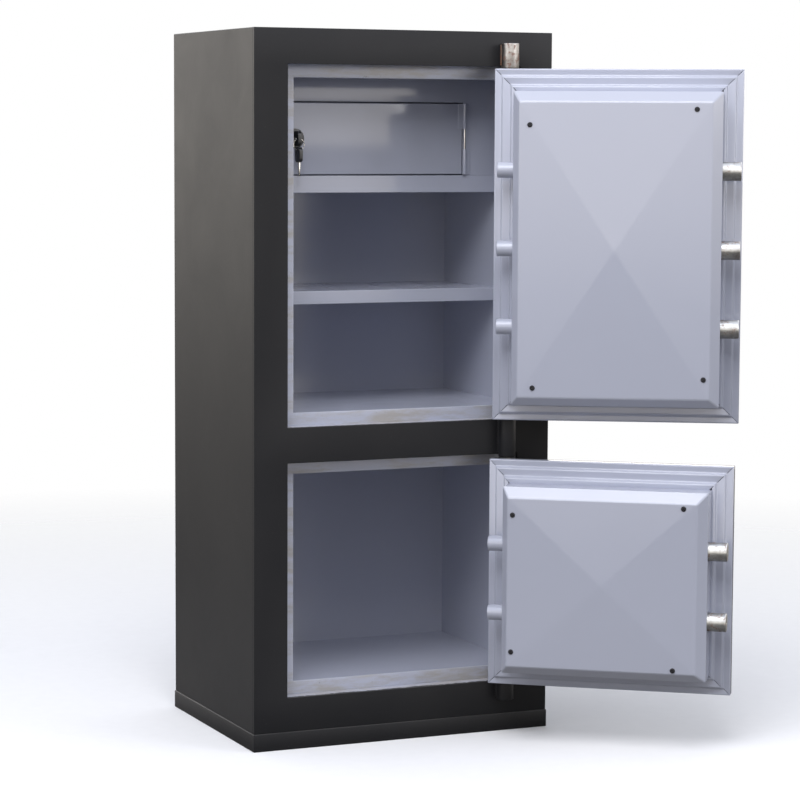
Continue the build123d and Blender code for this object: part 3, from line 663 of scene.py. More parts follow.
# ---- operators ----
class SAFE_OT_stage(bpy.types.Operator):
    """Lay the floor and place the camera and the lights"""
    bl_idname = "safe.stage"
    bl_label = "Stage"

    def execute(self, context):
        stage = settings()[0]
        scene = context.scene
        scene.view_settings.view_transform = "Standard"

        # pale matt floor that fades into the bright surroundings
        bpy.ops.mesh.primitive_circle_add(vertices=128, radius=stage.floor_radius, fill_type="NGON",
                                          location=(0, 0, cad_box[0].z))
        floor = context.active_object
        floor.name = "floor"
        apply_all(floor)
        made, tree, shader, place = start_finish("pale_studio_floor")
        speck = add(tree, "TexNoise", {"Vector": place, "Scale": 40.0, "Detail": 4.0})
        tone = add(tree, "Mix", {0: speck.outputs[0], 6: linear("#F3F3F3"), 7: linear("#F8F8F8")},
                   data_type="RGBA")
        # only the picture sees the floor pale: a mid grey keeps its light off the safe's undersides
        seen = add(tree, "LightPath").outputs["Is Camera Ray"]
        shade = add(tree, "Mix", {0: seen, 6: linear("#7E7C79"), 7: tone.outputs[2]}, data_type="RGBA")
        feed(tree, shader, {"Base Color": shade.outputs[2], "Roughness": 0.85})
        reach = add(tree, "VectorMath", {0: place}, operation="LENGTH")
        fade = add(tree, "MapRange", {0: reach.outputs["Value"], 1: 0.25 * stage.floor_radius,
                                      2: 0.9 * stage.floor_radius, 3: 1.0, 4: 0.0})
        tree.links.new(fade.outputs[0], shader.inputs["Alpha"])
        floor.data.materials.append(made)

        world = bpy.data.worlds.new("studio")
        scene.world = world
        world.use_nodes = True
        tree = world.node_tree
        ground = next(node for node in tree.nodes if node.type == "BACKGROUND")
        view = add(tree, "TexCoord").outputs["Generated"]
        height = add(tree, "SeparateXYZ", {0: view})
        dome = add(tree, "MapRange", {0: height.outputs[2], 1: -0.1, 2: 0.9, 3: 0.22, 4: 2.0})
        lit = add(tree, "Math", {0: dome.outputs[0], 1: stage.sky}, operation="MULTIPLY")
        ray = add(tree, "LightPath")
        # what gloss paint mirrors: bright haze over a dark horizon
        haze = add(tree, "MapRange", {0: height.outputs[2], 1: -0.075, 2: -0.01, 3: 0.12, 4: stage.haze},
                   interpolation_type="SMOOTHSTEP")
        mirrored = add(tree, "Mix", {0: ray.outputs["Is Glossy Ray"], 2: lit.outputs[0], 3: haze.outputs[0]},
                       data_type="FLOAT")
        power = add(tree, "Mix", {0: ray.outputs["Is Camera Ray"], 2: mirrored.outputs[0], 3: 1.0},
                    data_type="FLOAT")
        blue = add(tree, "MapRange", {0: height.outputs[2], 1: 0.0, 2: 0.7, 3: 0.0, 4: 1.0})
        air = add(tree, "Mix", {0: blue.outputs[0], 6: linear("#FFF8EE"), 7: linear("#EDF2FF")},
                  data_type="RGBA")
        hue = add(tree, "Mix", {0: ray.outputs["Is Camera Ray"], 6: air.outputs[2], 7: linear("#FFFFFF")},
                  data_type="RGBA")
        feed(tree, ground, {"Strength": power.outputs[0], "Color": hue.outputs[2]})

        top = cad_box[1].z
        for name, place, aim, size, power in (
                ("key_softbox", (-1.2, -2.0, top + 2.2), (0.0, -0.2, 0.7), 2.2, stage.key_power),
                ("side_softbox", (-3.4, -1.2, 1.5), (0.0, -0.1, 0.6), 1.8, stage.side_power),
                ("front_softbox", (2.6, -3.2, 1.9), (0.2, -0.2, 0.7), 1.6, stage.front_power)):
            lamp = bpy.data.lights.new(name, "AREA")
            lamp.shape, lamp.size, lamp.energy = "SQUARE", size, power
            lamp.color = linear("#FBFBFF")[:3]
            light = bpy.data.objects.new(name, lamp)
            light.matrix_world = Matrix.Translation(place) @ (
                Vector(aim) - Vector(place)).to_track_quat("-Z", "Y").to_matrix().to_4x4()
            scene.collection.objects.link(light)

        a, e, r = stage.azimuth, stage.elevation, stage.roll
        ahead = Vector((-sin(a) * cos(e), cos(a) * cos(e), -sin(e)))
        level = Vector((cos(a), sin(a), 0))
        up = level.cross(ahead)
        right = cos(r) * level + sin(r) * up
        up = cos(r) * up - sin(r) * level
        spot = Vector(stage.aim) - stage.distance * ahead
        lens = bpy.data.cameras.new("camera")
        lens.sensor_width, lens.lens = 36.0, stage.lens
        camera = bpy.data.objects.new("camera", lens)
        camera.matrix_world = Matrix((
            (right.x, up.x, -ahead.x, spot.x), (right.y, up.y, -ahead.y, spot.y),
            (right.z, up.z, -ahead.z, spot.z), (0, 0, 0, 1)))
        scene.collection.objects.link(camera)
        scene.camera = camera
        return {"FINISHED"}


class SAFE_OT_finishes(bpy.types.Operator):
    """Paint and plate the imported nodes"""
    bl_idname = "safe.finishes"
    bl_label = "Finishes"

    def execute(self, context):
        for part in frame["record"]["subparts"]:
            node, slot = part["node"], part["material_slot"]
            if slot == "bolt_steel":
                name = node.split("_")[0] + "_bolt_steel"
            elif node.endswith("_jamb"):
                name = "soiled_blue_grey_enamel"
            elif node.endswith("hinge_pin") or node == "hinge_pins":
                name = "ground_hinge_steel"
            else:
                name = SLOT_FINISH[slot]
            holder = frame["nodes"][node]
            holder.data.materials.clear()
            holder.data.materials.append(finish(name))
        return {"FINISHED"}


class SAFE_OT_body(bpy.types.Operator):
    """Round the edges of the body's casing, face frame and plinth"""
    bl_idname = "safe.body"
    bl_label = "Body"

    def execute(self, context):
        edge = settings()[1].edge
        # the face frame, flame-cut for the two doorways
        xs, ys, zs = (levels("front_frame", axis) for axis in range(3))
        doorways = [(xs[1], zs[1], xs[2], zs[2]), (xs[1], zs[3], xs[2], zs[4])]
        face = pierced("face_frame", (xs[0], ys[0], zs[0]), (xs[-1], ys[-1], zs[-1]), doorways, edge)
        settle(face, "cabinet", "charcoal_paint", finish("charcoal_enamel"), "front_frame")

        # the plinth: a box with its middle inset and bridged through
        low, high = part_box("plinth")
        inner = [x for x in levels("plinth", 0) if x > 0][0]
        ring = box_piece("plinth_frame", low, high)
        edit(ring)
        pick(ring, "faces", lambda f: abs(f.normal.z) > 0.9)
        bpy.ops.mesh.inset(thickness=high.x - inner)
        bpy.ops.mesh.bridge_edge_loops()
        leave_edit()
        add_modifier(ring, "BEVEL", width=0.0016, segments=3, limit_method="ANGLE", angle_limit=radians(30))
        smooth(ring)
        settle(ring, "cabinet", "charcoal_paint", finish("charcoal_enamel"), "plinth")

        for node, width in (("outer_casing", 0.0012), ("back_panel", 0.0006)):
            settle(rounded(node, width), "cabinet", "charcoal_paint", finish("charcoal_enamel"), node)
        return {"FINISHED"}


class SAFE_OT_compartments(bpy.types.Operator):
    """Fold the stepped jambs, the shelves and the locker's front"""
    bl_idname = "safe.compartments"
    bl_label = "Compartments"

    def execute(self, context):
        for node in ("upper_jamb", "lower_jamb"):
            xs, ys, zs = (levels(node, axis) for axis in range(3))
            lip = pierced("lip", (xs[0], ys[1], zs[0]), (xs[-1], ys[2], zs[-1]),
                          [(xs[3], zs[2], xs[4], zs[3])], 0.0010)
            walls = tube_walls("walls", (xs[2], ys[0], zs[1]), (xs[5], ys[1], zs[4]), xs[2] - xs[1], 0.0008)
            jamb = join(node + "_stepped", [lip, walls])
            settle(jamb, "cabinet", "blue_grey_paint", finish("soiled_blue_grey_enamel"), node)
        for node in ("locker_shelf", "middle_shelf"):
            settle(rounded(node, 0.0009), "cabinet", "blue_grey_paint", finish("blue_grey_enamel"), node)
        low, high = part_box("locker_front")
        xs, zs = levels("locker_front", 0), levels("locker_front", 2)
        plate = pierced("locker_front_plate", low, high, [(xs[1], low.z - 0.01, xs[2], zs[1])], 0.0004)
        settle(plate, "cabinet", "blue_grey_paint", finish("blue_grey_enamel"), "locker_front")
        return {"FINISHED"}


class SAFE_OT_rims(bpy.types.Operator):
    """Fold and mitre the stepped sheet rims of both doors"""
    bl_idname = "safe.rims"
    bl_label = "Door rims"

    def section(self, name, run, places):
        """One rim section along X, its outer edge at Y 0, rising in Z: a strip extruded leg by leg,
        its bends rounded, both ends bisected to a mitre, then given its thickness."""
        sizes = settings()[1]
        bpy.ops.mesh.primitive_plane_add(size=1, location=(0, places[1][0] / 2, 0))
        piece = bpy.context.active_object
        piece.name = piece.data.name = name
        piece.scale = (run, places[1][0], 1)
        apply_all(piece)
        edit(piece)
        pick(piece, "edges", lambda e: middle(e).y > places[1][0] - 1e-5)
        for before, after in zip(places[1:], places[2:]):
            bpy.ops.mesh.extrude_region_move(TRANSFORM_OT_translate={
                "value": (0, after[0] - before[0], after[1] - before[1])})
        pick(piece, "edges", lambda e: middle(e).y < 1e-5 and abs(middle(e).x) < 1e-5)
        bpy.ops.mesh.extrude_region_move(TRANSFORM_OT_translate={"value": (0, 0, places[0][1])})
        pick(piece, "edges", bent)
        bpy.ops.mesh.bevel(offset=sizes.bend, segments=4, affect="EDGES")
        for end in (-1, 1):
            bpy.ops.mesh.select_all(action="SELECT")
            bpy.ops.mesh.bisect(plane_co=(end * (run / 2 - sizes.mitre_gap / sqrt(2)), 0, 0),
                                plane_no=(end, 1, 0), clear_outer=True)
        bpy.ops.mesh.select_all(action="SELECT")
        bpy.ops.mesh.normals_make_consistent(inside=False)
        leave_edit()
        shape = bmesh.new()
        shape.from_mesh(piece.data)
        widest = max(shape.faces, key=lambda face: face.calc_area())
        if widest.normal.z < 0:
            bmesh.ops.reverse_faces(shape, faces=shape.faces)
        shape.to_mesh(piece.data)
        shape.free()
        add_modifier(piece, "SOLIDIFY", thickness=sizes.rim_sheet, offset=-1, use_even_offset=True)
        add_modifier(piece, "BEVEL", width=0.00035, segments=2, limit_method="ANGLE",
                     angle_limit=radians(55))
        smooth(piece, 40)
        return piece

    def execute(self, context):
        sizes = settings()[1]
        run_in = sizes.step_run
        for door in DOORS:
            low, high = closed_box(door, "plate")
            plane = high.y + sizes.rim_depth
            box_low, box_high = closed_box(door, "bolt_box")
            wide, tall = high.x - low.x, high.z - low.z
            centre = Vector(((low.x + high.x) / 2, plane, (low.z + high.z) / 2))
            # local Y points inward over the door and local Z away from its face
            for side, run, edge, turn, width in (
                    ("top", wide, (0, tall / 2), 180, high.z - box_high.z),
                    ("bottom", wide, (0, -tall / 2), 0, box_low.z - low.z),
                    ("hinge", tall, (wide / 2, 0), -90, high.x - box_high.x),
                    ("opening", tall, (-wide / 2, 0), 90, box_low.x - low.x)):
                steps = ((0.0, -sizes.rim_depth), (sizes.flange, 0.0),
                         (sizes.flange + run_in, sizes.first_rise),
                         (sizes.second_step, sizes.first_rise),
                         (sizes.second_step + run_in, sizes.second_rise), (width, sizes.second_rise))
                piece = self.section(f"{door}_door_rim_{side}_folded", run, steps)
                # rim Y to door Z, rim Z to door Y
                stand = Matrix(((-1, 0, 0, 0), (0, 0, 1, 0), (0, 1, 0, 0), (0, 0, 0, 1)))
                spin = Matrix.Rotation(radians(turn), 4, "Y")
                place = Matrix.Translation(centre + Vector((edge[0], 0, edge[1]))) @ spin @ stand
                piece.matrix_world = hang(door) @ place
                apply_all(piece)
                settle(piece, f"{door}_door", "blue_grey_paint", finish("blue_grey_enamel"),
                       f"{door}_door_rim_{side}")
        return {"FINISHED"}


CREASE_BEND = 0.0025            # width of the bend along a crossed crease
BOX_BEND = 0.0025
BOLT_PLAY = 0.001               # round a bolt in the bolt box's wall


class SAFE_OT_covers(bpy.types.Operator):
    """Fold the cross-creased cover pans and the bolt boxes under them"""
    bl_idname = "safe.covers"
    bl_label = "Covers and bolt boxes"

    def execute(self, context):
        sizes = settings()[1]
        for door in DOORS:
            low, high = closed_box(door, "cover")
            face = high.y - sizes.crease
            back = hang(door).inverted()
            spots = [back @ v.co for v in frame["nodes"][f"{door}_door_cover"].data.vertices]
            spots = [spot for spot in spots if abs(spot.y - face) < 1e-4]
            left, right = min(p.x for p in spots), max(p.x for p in spots)
            bottom, top = min(p.z for p in spots), max(p.z for p in spots)
            centre = Vector(((left + right) / 2, face, (bottom + top) / 2))
            # the pan: a plane in X and Z poked to four panels, its border drawn out to a sloping skirt
            bpy.ops.mesh.primitive_plane_add(size=1, rotation=(-pi / 2, 0, 0), location=centre)
            pan = context.active_object
            pan.name = pan.data.name = f"{door}_door_cover_pan"
            pan.scale = (right - left, top - bottom, 1)
            apply_all(pan)
            edit(pan)
            bpy.ops.mesh.select_all(action="SELECT")
            bpy.ops.mesh.poke(offset=sizes.crease)
            pick(pan, "edges", lambda e: e.is_boundary)
            seat = (low + high) / 2
            bpy.ops.mesh.extrude_region_move(TRANSFORM_OT_translate={
                "value": (seat.x - centre.x, low.y - face, seat.z - centre.z)})
            bpy.ops.transform.resize(
                value=((high.x - low.x) / (right - left), 1, (high.z - low.z) / (top - bottom)),
                center_override=(seat.x, low.y, seat.z))
            pick(pan, "edges", lambda e: bent(e, 20))
            bpy.ops.mesh.bevel(offset=sizes.pan_bend, segments=4, affect="EDGES")
            peak = centre + Vector((0, sizes.crease, 0))
            pick(pan, "edges", lambda e: any((v.co - peak).length < 1e-4 for v in e.verts))
            bpy.ops.mesh.bevel(offset=CREASE_BEND, segments=3, affect="EDGES")
            bpy.ops.mesh.select_all(action="SELECT")
            bpy.ops.mesh.normals_make_consistent(inside=False)
            leave_edit()
            add_modifier(pan, "SOLIDIFY", thickness=sizes.cover_sheet, offset=-1, use_even_offset=True)
            smooth(pan, 30)
            add_modifier(pan, "WEIGHTED_NORMAL", keep_sharp=True, weight=100, mode="FACE_AREA", thresh=0.0)
            pan.data.transform(hang(door))
            settle(pan, f"{door}_door", "blue_grey_paint", finish("blue_grey_enamel"), f"{door}_door_cover")

            # the bolt box: four folded walls with clearance holes for the bolts
            low, high = closed_box(door, "bolt_box")
            box = box_piece(f"{door}_door_bolt_box_folded", low, high)
            edit(box)
            pick(box, "faces", lambda f: abs(f.normal.y) > 0.9)
            bpy.ops.mesh.delete(type="FACE")
            pick(box, "edges", lambda e: bent(e, 50))
            bpy.ops.mesh.bevel(offset=BOX_BEND, segments=4, affect="EDGES")
            leave_edit()
            add_modifier(box, "SOLIDIFY", thickness=sizes.box_sheet, offset=-1, use_even_offset=True)
            holes = []
            for bolt_low, bolt_high in shells(door, "live_bolts"):
                centre = (bolt_low + bolt_high) / 2
                radius = (bolt_high.z - bolt_low.z) / 2 + BOLT_PLAY
                holes.append(rod_piece("hole", radius, (low.x - 0.01, centre.y, centre.z),
                                       (low.x + 0.01, centre.y, centre.z)))
            cut(box, *holes)
            smooth(box, 30)
            box.data.transform(hang(door))
            settle(box, f"{door}_door", "blue_grey_paint", finish("blue_grey_enamel"),
                   f"{door}_door_bolt_box")
        return {"FINISHED"}


HEAD, HEAD_ROUND = 0.0016, 0.0011       # a screw head's height and the rounding of its rim
RECESS = Vector((0.00065, 0.0008, 0.0027))      # half the size of one slot of the cross recess
RECESS_SET = 0.0003                     # from the head's top down to the slots' middle


class SAFE_OT_screws(bpy.types.Operator):
    """Turn the cross-recessed cover screws"""
    bl_idname = "safe.screws"
    bl_label = "Cover screws"

    def execute(self, context):
        for door in DOORS:
            pieces = []
            for low, high in shells(door, "cover_screws"):
                x, z, radius = (low.x + high.x) / 2, (low.z + high.z) / 2, (high.x - low.x) / 2
                seat = high.y - HEAD
                head = rod_piece("head", radius, (x, seat, z), (x, high.y, z), 40)
                edit(head)
                pick(head, "edges", lambda e: all(v.co.y > high.y - 1e-5 for v in e.verts))
                bpy.ops.mesh.bevel(offset=HEAD_ROUND, segments=4, affect="EDGES")
                leave_edit()
                slots = []
                for turn in (0.0, pi / 2):
                    slot = box_piece("slot", -RECESS, RECESS)
                    # each screw stopped at an angle of its own
                    tilt = Matrix.Rotation(turn + 0.4 + 37 * z, 4, "Y")
                    slot.data.transform(Matrix.Translation((x, high.y - RECESS_SET, z)) @ tilt)
                    slots.append(slot)
                cut(head, *slots)
                pieces.append(head)
            screws = join(f"{door}_door_cover_screws_turned", pieces)
            smooth(screws, 35)
            screws.data.transform(hang(door))
            settle(screws, f"{door}_door", "screw_steel", finish("blackened_screw_steel"),
                   f"{door}_door_cover_screws")
        return {"FINISHED"}


NOSE_ROUND = 0.0018
DRILL, DRILL_DEPTH = 0.0046, 0.0022     # radius and depth of the lathe centre's mark


class SAFE_OT_bolts(bpy.types.Operator):
    """Turn the live bolts and weld in the fixed dead bolts"""
    bl_idname = "safe.bolts"
    bl_label = "Bolts"

    def bolt(self, low, high, end, flat):
        """One round bar along X with a rounded nose towards end, -1 or 1."""
        radius = (high.z - low.z) / 2
        bar = rod_piece("bolt", radius, (low.x, (low.y + high.y) / 2, (low.z + high.z) / 2),
                        (high.x, (low.y + high.y) / 2, (low.z + high.z) / 2), 72)
        nose = high.x if end > 0 else low.x
        edit(bar)
        pick(bar, "edges", lambda e: all(abs(v.co.x - nose) < 1e-5 for v in e.verts))
        bpy.ops.mesh.bevel(offset=NOSE_ROUND, segments=4, affect="EDGES")
        if not flat:
            # a centre-drilled face, as a lathe leaves it
            pick(bar, "faces", lambda f: f.normal.x * end > 0.99)
            bpy.ops.mesh.inset(thickness=radius - DRILL)
            bpy.ops.mesh.extrude_region_move(TRANSFORM_OT_translate={
                "value": (-end * DRILL_DEPTH, 0, 0)})
            bpy.ops.mesh.merge(type="CENTER")
        leave_edit()
        return bar

    def execute(self, context):
        for door in DOORS:
            live = join(f"{door}_door_live_bolts_turned",
                        [self.bolt(low, high, -1, False) for low, high in shells(door, "live_bolts")])
            smooth(live, 30)
            live.data.transform(hang(door))
            settle(live, f"{door}_bolts", "bolt_steel", finish(f"{door}_bolt_steel"),
                   f"{door}_door_live_bolts")
            dead = join(f"{door}_door_dead_bolts_painted",
                        [self.bolt(low, high, 1, True) for low, high in shells(door, "dead_bolts")])
            smooth(dead, 30)
            dead.data.transform(hang(door))
            settle(dead, f"{door}_door", "blue_grey_paint", finish("blue_grey_enamel"),
                   f"{door}_door_dead_bolts")
        return {"FINISHED"}


HINGE_BORE = 0.0072             # through a barrel, a little over its pin
PAD_HALF = 0.009                # half the width of the pad a barrel is welded to
BEAD_X = 0.0098                 # from the pad's middle to the beads along it
TUBE_BEAD, FACE_BEAD = 0.0125, 0.0018   # the beads' distances from the barrel's axis and from the face
BEAD_END = 0.002                # where a bead stops short of the pad's ends


class SAFE_OT_hinges(bpy.types.Operator):
    """Bore the hinge barrels and knuckles, weld them on and drive in the pins"""
    bl_idname = "safe.hinges"
    bl_label = "Main hinges"

    def barrel(self, low, high, pad_low, pad_high, paint, weld):
        """One barrel on its pad, its box given, with a bead down each side of the pad."""
        radius = (high.x - low.x) / 2
        x, y, face = low.x + radius, low.y + radius, high.y
        tube = soften(tube_piece("barrel", radius, HINGE_BORE, (x, y, low.z), (x, y, high.z)), 0.0010)
        pad = box_piece("pad", (x - PAD_HALF, y + PAD_HALF, pad_low), (x + PAD_HALF, face, pad_high))
        soften(pad, 0.0008)
        bead = settings()[1].bead
        beads = [weld_bead(bead, (x + side * BEAD_X, y + reach, pad_low + BEAD_END),
                           pad_high - pad_low - 2 * BEAD_END)
                 for side in (-1, 1) for reach in (TUBE_BEAD, face - y - FACE_BEAD)]
        return [coated(tube, paint), coated(pad, paint)] + [coated(one, weld) for one in beads]

    def execute(self, context):
        rails = levels("front_frame", 2)
        pieces = []
        for index, (low, high) in enumerate(solids("frame_hinge_barrels")):
            bottom, top = max(low.z, rails[2 * index]), min(high.z, rails[2 * index + 1])
            scraped = index == 2
            paints = ("scraped_hinge_steel", "rusting_weld_metal") if scraped else 2 * ("charcoal_enamel",)
            pieces += self.barrel(low, high, bottom, top, *paints)
        settle(join("frame_hinge_barrels_bored", pieces), "cabinet", SLOTS["frame_hinge_barrels"], None,
               "frame_hinge_barrels")
        for door in DOORS:
            pieces = []
            for low, high in shells(door, "knuckles"):
                pieces += self.barrel(low, high, low.z, high.z, "charcoal_enamel", "charcoal_enamel")
            knuckles = join(f"{door}_door_knuckles_bored", pieces)
            knuckles.data.transform(hang(door))
            settle(knuckles, f"{door}_door", SLOTS[f"{door}_door_knuckles"], None, f"{door}_door_knuckles")
        settle(rounded("hinge_pins", 0.0008), "cabinet", SLOTS["hinge_pins"], finish("ground_hinge_steel"),
               "hinge_pins")
        return {"FINISHED"}


TRAY_SHEET, TRAY_BEND = 0.0015, 0.0018
LEAF_SHEET, LOCKER_BORE = 0.0013, 0.00165
PLUG, PLUG_BORE = 0.0049, 0.0051        # the lock's plug and the hole it turns in
LOCK_BARREL = 0.009
CAM_SHEET, CAM_CORNER = 0.0025, 0.005


class SAFE_OT_locker(bpy.types.Operator):
    """Fold the locker's door and fit its hinge and lock"""
    bl_idname = "safe.locker"
    bl_label = "Locker door"

    def execute(self, context):
        low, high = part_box("locker_door")
        face = low.y
        tray = box_piece("locker_door_tray", low, high)
        edit(tray)
        pick(tray, "faces", lambda f: f.normal.y > 0.9)
        bpy.ops.mesh.delete(type="FACE")
        pick(tray, "edges", lambda e: bent(e, 50))
        bpy.ops.mesh.bevel(offset=TRAY_BEND, segments=4, affect="EDGES")
        leave_edit()
        add_modifier(tray, "SOLIDIFY", thickness=TRAY_SHEET, offset=-1, use_even_offset=True)
        smooth(tray, 40)
        settle(tray, "locker_door", SLOTS["locker_door"], finish("blue_grey_enamel"), "locker_door")

        axis = Vector(JOINTS["locker_door_swing"]["pos_m"])
        for node, body in (("locker_hinge_knuckle", "cabinet"), ("locker_door_knuckle", "locker_door")):
            low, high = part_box(node)
            radius = axis.y - low.y
            tube = tube_piece("barrel", radius, LOCKER_BORE, (axis.x, axis.y, low.z),
                              (axis.x, axis.y, high.z), 40)
            edge = (axis.x, high.x) if high.x - axis.x > axis.x - low.x else (low.x, axis.x)
            leaf = box_piece("leaf", (edge[0], face - LEAF_SHEET, low.z), (edge[1], face, high.z))
            knuckle = join(node + "_rolled", [soften(tube, 0.0003), soften(leaf, 0.0004)])
            settle(knuckle, body, SLOTS[node], finish("blue_grey_enamel"), node)
        low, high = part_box("locker_hinge_pin")
        pin = rod_piece("locker_hinge_pin_turned", (high.x - low.x) / 2, (axis.x, axis.y, low.z),
                        (axis.x, axis.y, high.z), 32)
        settle(soften(pin, 0.0006), "cabinet", SLOTS["locker_hinge_pin"], finish("ground_hinge_steel"),
               "locker_hinge_pin")

        lock = Vector(JOINTS["locker_key_turn"]["pos_m"])
        low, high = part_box("locker_lock_body")
        rosette = tube_piece("rosette", (high.x - low.x) / 2, PLUG_BORE, (lock.x, face, lock.z),
                             (lock.x, low.y, lock.z))
        barrel = tube_piece("lock_barrel", LOCK_BARREL, PLUG_BORE, (lock.x, high.y, lock.z),
                            (lock.x, face, lock.z), 48)
        body = join("locker_lock_body_turned", [soften(rosette, 0.0011, 4), soften(barrel, 0.0004)])
        settle(body, "locker_door", SLOTS["locker_lock_body"], finish("black_moulded_plastic"),
               "locker_lock_body")
        low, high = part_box("locker_cam")
        plug = rod_piece("plug", PLUG, (lock.x, high.y - 0.001, lock.z),
                         (lock.x, low.y + 0.0001, lock.z), 40)
        cam = box_piece("cam", (low.x, high.y - CAM_SHEET, low.z), high)
        edit(cam)
        pick(cam, "edges", lambda e: abs(e.verts[0].co.y - e.verts[1].co.y) > 0.001)
        bpy.ops.mesh.bevel(offset=CAM_CORNER, segments=6, affect="EDGES")
        leave_edit()
        cam = join("locker_cam_pressed", [soften(plug, 0.0003), soften(cam, 0.0003)])
        settle(cam, "locker_key", SLOTS["locker_cam"], finish("nickelled_steel"), "locker_cam")
        return {"FINISHED"}


KEY_CORNER, KEY_EDGE, KEY_HOLE = 0.0070, 0.0012, 0.003      # corners, edge rounding and hole of a key head
BLADE_HALF, BLADE_SHEET_HALF = 0.0035, 0.001                # half the blade's width and thickness
CUT_DEPTHS = (0.0012, 0.0022, 0.0008, 0.0018)
CUT_FIRST, CUT_PITCH, CUT_WIDTH = 0.004, 0.0045, 0.0022     # from the blade's tip


class SAFE_OT_keys(bpy.types.Operator):
    """Mould the two key heads, cut the spare key's blade and wind the ring"""
    bl_idname = "safe.keys"
    bl_label = "Keys and ring"

    def head(self, low, high, hole):
        """A key head between two corners, thin along X, with a hole for the ring."""
        head = box_piece("head", low, high)
        edit(head)
        pick(head, "edges", lambda e: abs(e.verts[0].co.x - e.verts[1].co.x) > 0.001)
        bpy.ops.mesh.bevel(offset=KEY_CORNER, segments=8, affect="EDGES")
        leave_edit()
        cut(head, rod_piece("hole", KEY_HOLE, (low.x - 0.01, hole.y, hole.z),
                            (high.x + 0.01, hole.y, hole.z), 32))
        return coated(soften(head, KEY_EDGE), "black_moulded_plastic")

    def execute(self, context):
        hole = Vector(JOINTS["key_ring_swing"]["pos_m"])
        low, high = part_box("locker_key")
        key = self.head(low, high, hole)
        key.name = key.data.name = "locker_key_moulded"
        settle(key, "locker_key", SLOTS["locker_key"], None, "locker_key")

        low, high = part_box("spare_key")
        ring_low, ring_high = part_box("key_ring")
        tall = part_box("locker_key")[1].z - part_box("locker_key")[0].z
        throat = high.z - tall
        wire = (ring_high.y - ring_low.y) / 2
        grip = Vector((hole.x, hole.y, ring_low.z + wire))
        head = self.head(Vector((low.x, low.y, throat)), high, grip)
        blade = box_piece("blade", (hole.x - BLADE_SHEET_HALF, hole.y - BLADE_HALF, low.z),
                          (hole.x + BLADE_SHEET_HALF, hole.y + BLADE_HALF, throat + 0.001))
        notches = []
        for step, depth in enumerate(CUT_DEPTHS):
            z = low.z + CUT_FIRST + CUT_PITCH * step
            notches.append(box_piece("notch", (hole.x - 0.002, hole.y + BLADE_HALF - depth, z),
                                     (hole.x + 0.002, hole.y + 0.005, z + CUT_WIDTH)))
        cut(blade, *notches)
        spare = join("spare_key_cut", [head, coated(soften(blade, 0.0002), "nickelled_steel")])
        settle(spare, "key_ring", SLOTS["spare_key"], None, "spare_key")

        turns = []
        for side in (-1, 1):
            bpy.ops.mesh.primitive_torus_add(
                major_radius=(ring_high.x - ring_low.x) / 2 - wire, minor_radius=wire * 0.5,
                major_segments=72, minor_segments=10, rotation=(pi / 2, 0, 0),
                location=(hole.x, hole.y + side * wire * 0.46, (ring_low.z + ring_high.z) / 2))
            turns.append(context.active_object)
            apply_all(turns[-1])
        ring = join("key_ring_wound", turns)
        smooth(ring, 60)
        settle(ring, "key_ring", SLOTS["key_ring"], finish("nickelled_steel"), "key_ring")
        return {"FINISHED"}


HUB_ROUND, HUB_RIM, HUB_DISH = 0.005, 0.004, 0.0008     # its edge, and the dished middle of its face
LEVER_ROUND = 0.0070
LEVER, LEVER_SET, LEVER_START = 0.009, 0.011, 0.004     # its radius, depth in the hub and start from its axis
WAIST, WAIST_RINGS = 0.24, 11                           # how far a lever narrows, and over how many rings
SNOUT, SNOUT_HOLE = 0.0079, 0.0082
KEY_SLOT_HALF_X, KEY_SLOT_HALF_Z, KEY_SLOT_DEPTH = 0.0022, 0.006, 0.005
SHIELD, SHIELD_ROUND = 0.004, 0.0015                    # the keyhole cover's thickness and its edge
SHIELD_RIM, SHIELD_DISH = 0.003, 0.0005                 # round the sunk middle of its face, and how deep
STUD, STUD_RISE = 0.003, 0.012                          # its stud's radius and height over the keyhole


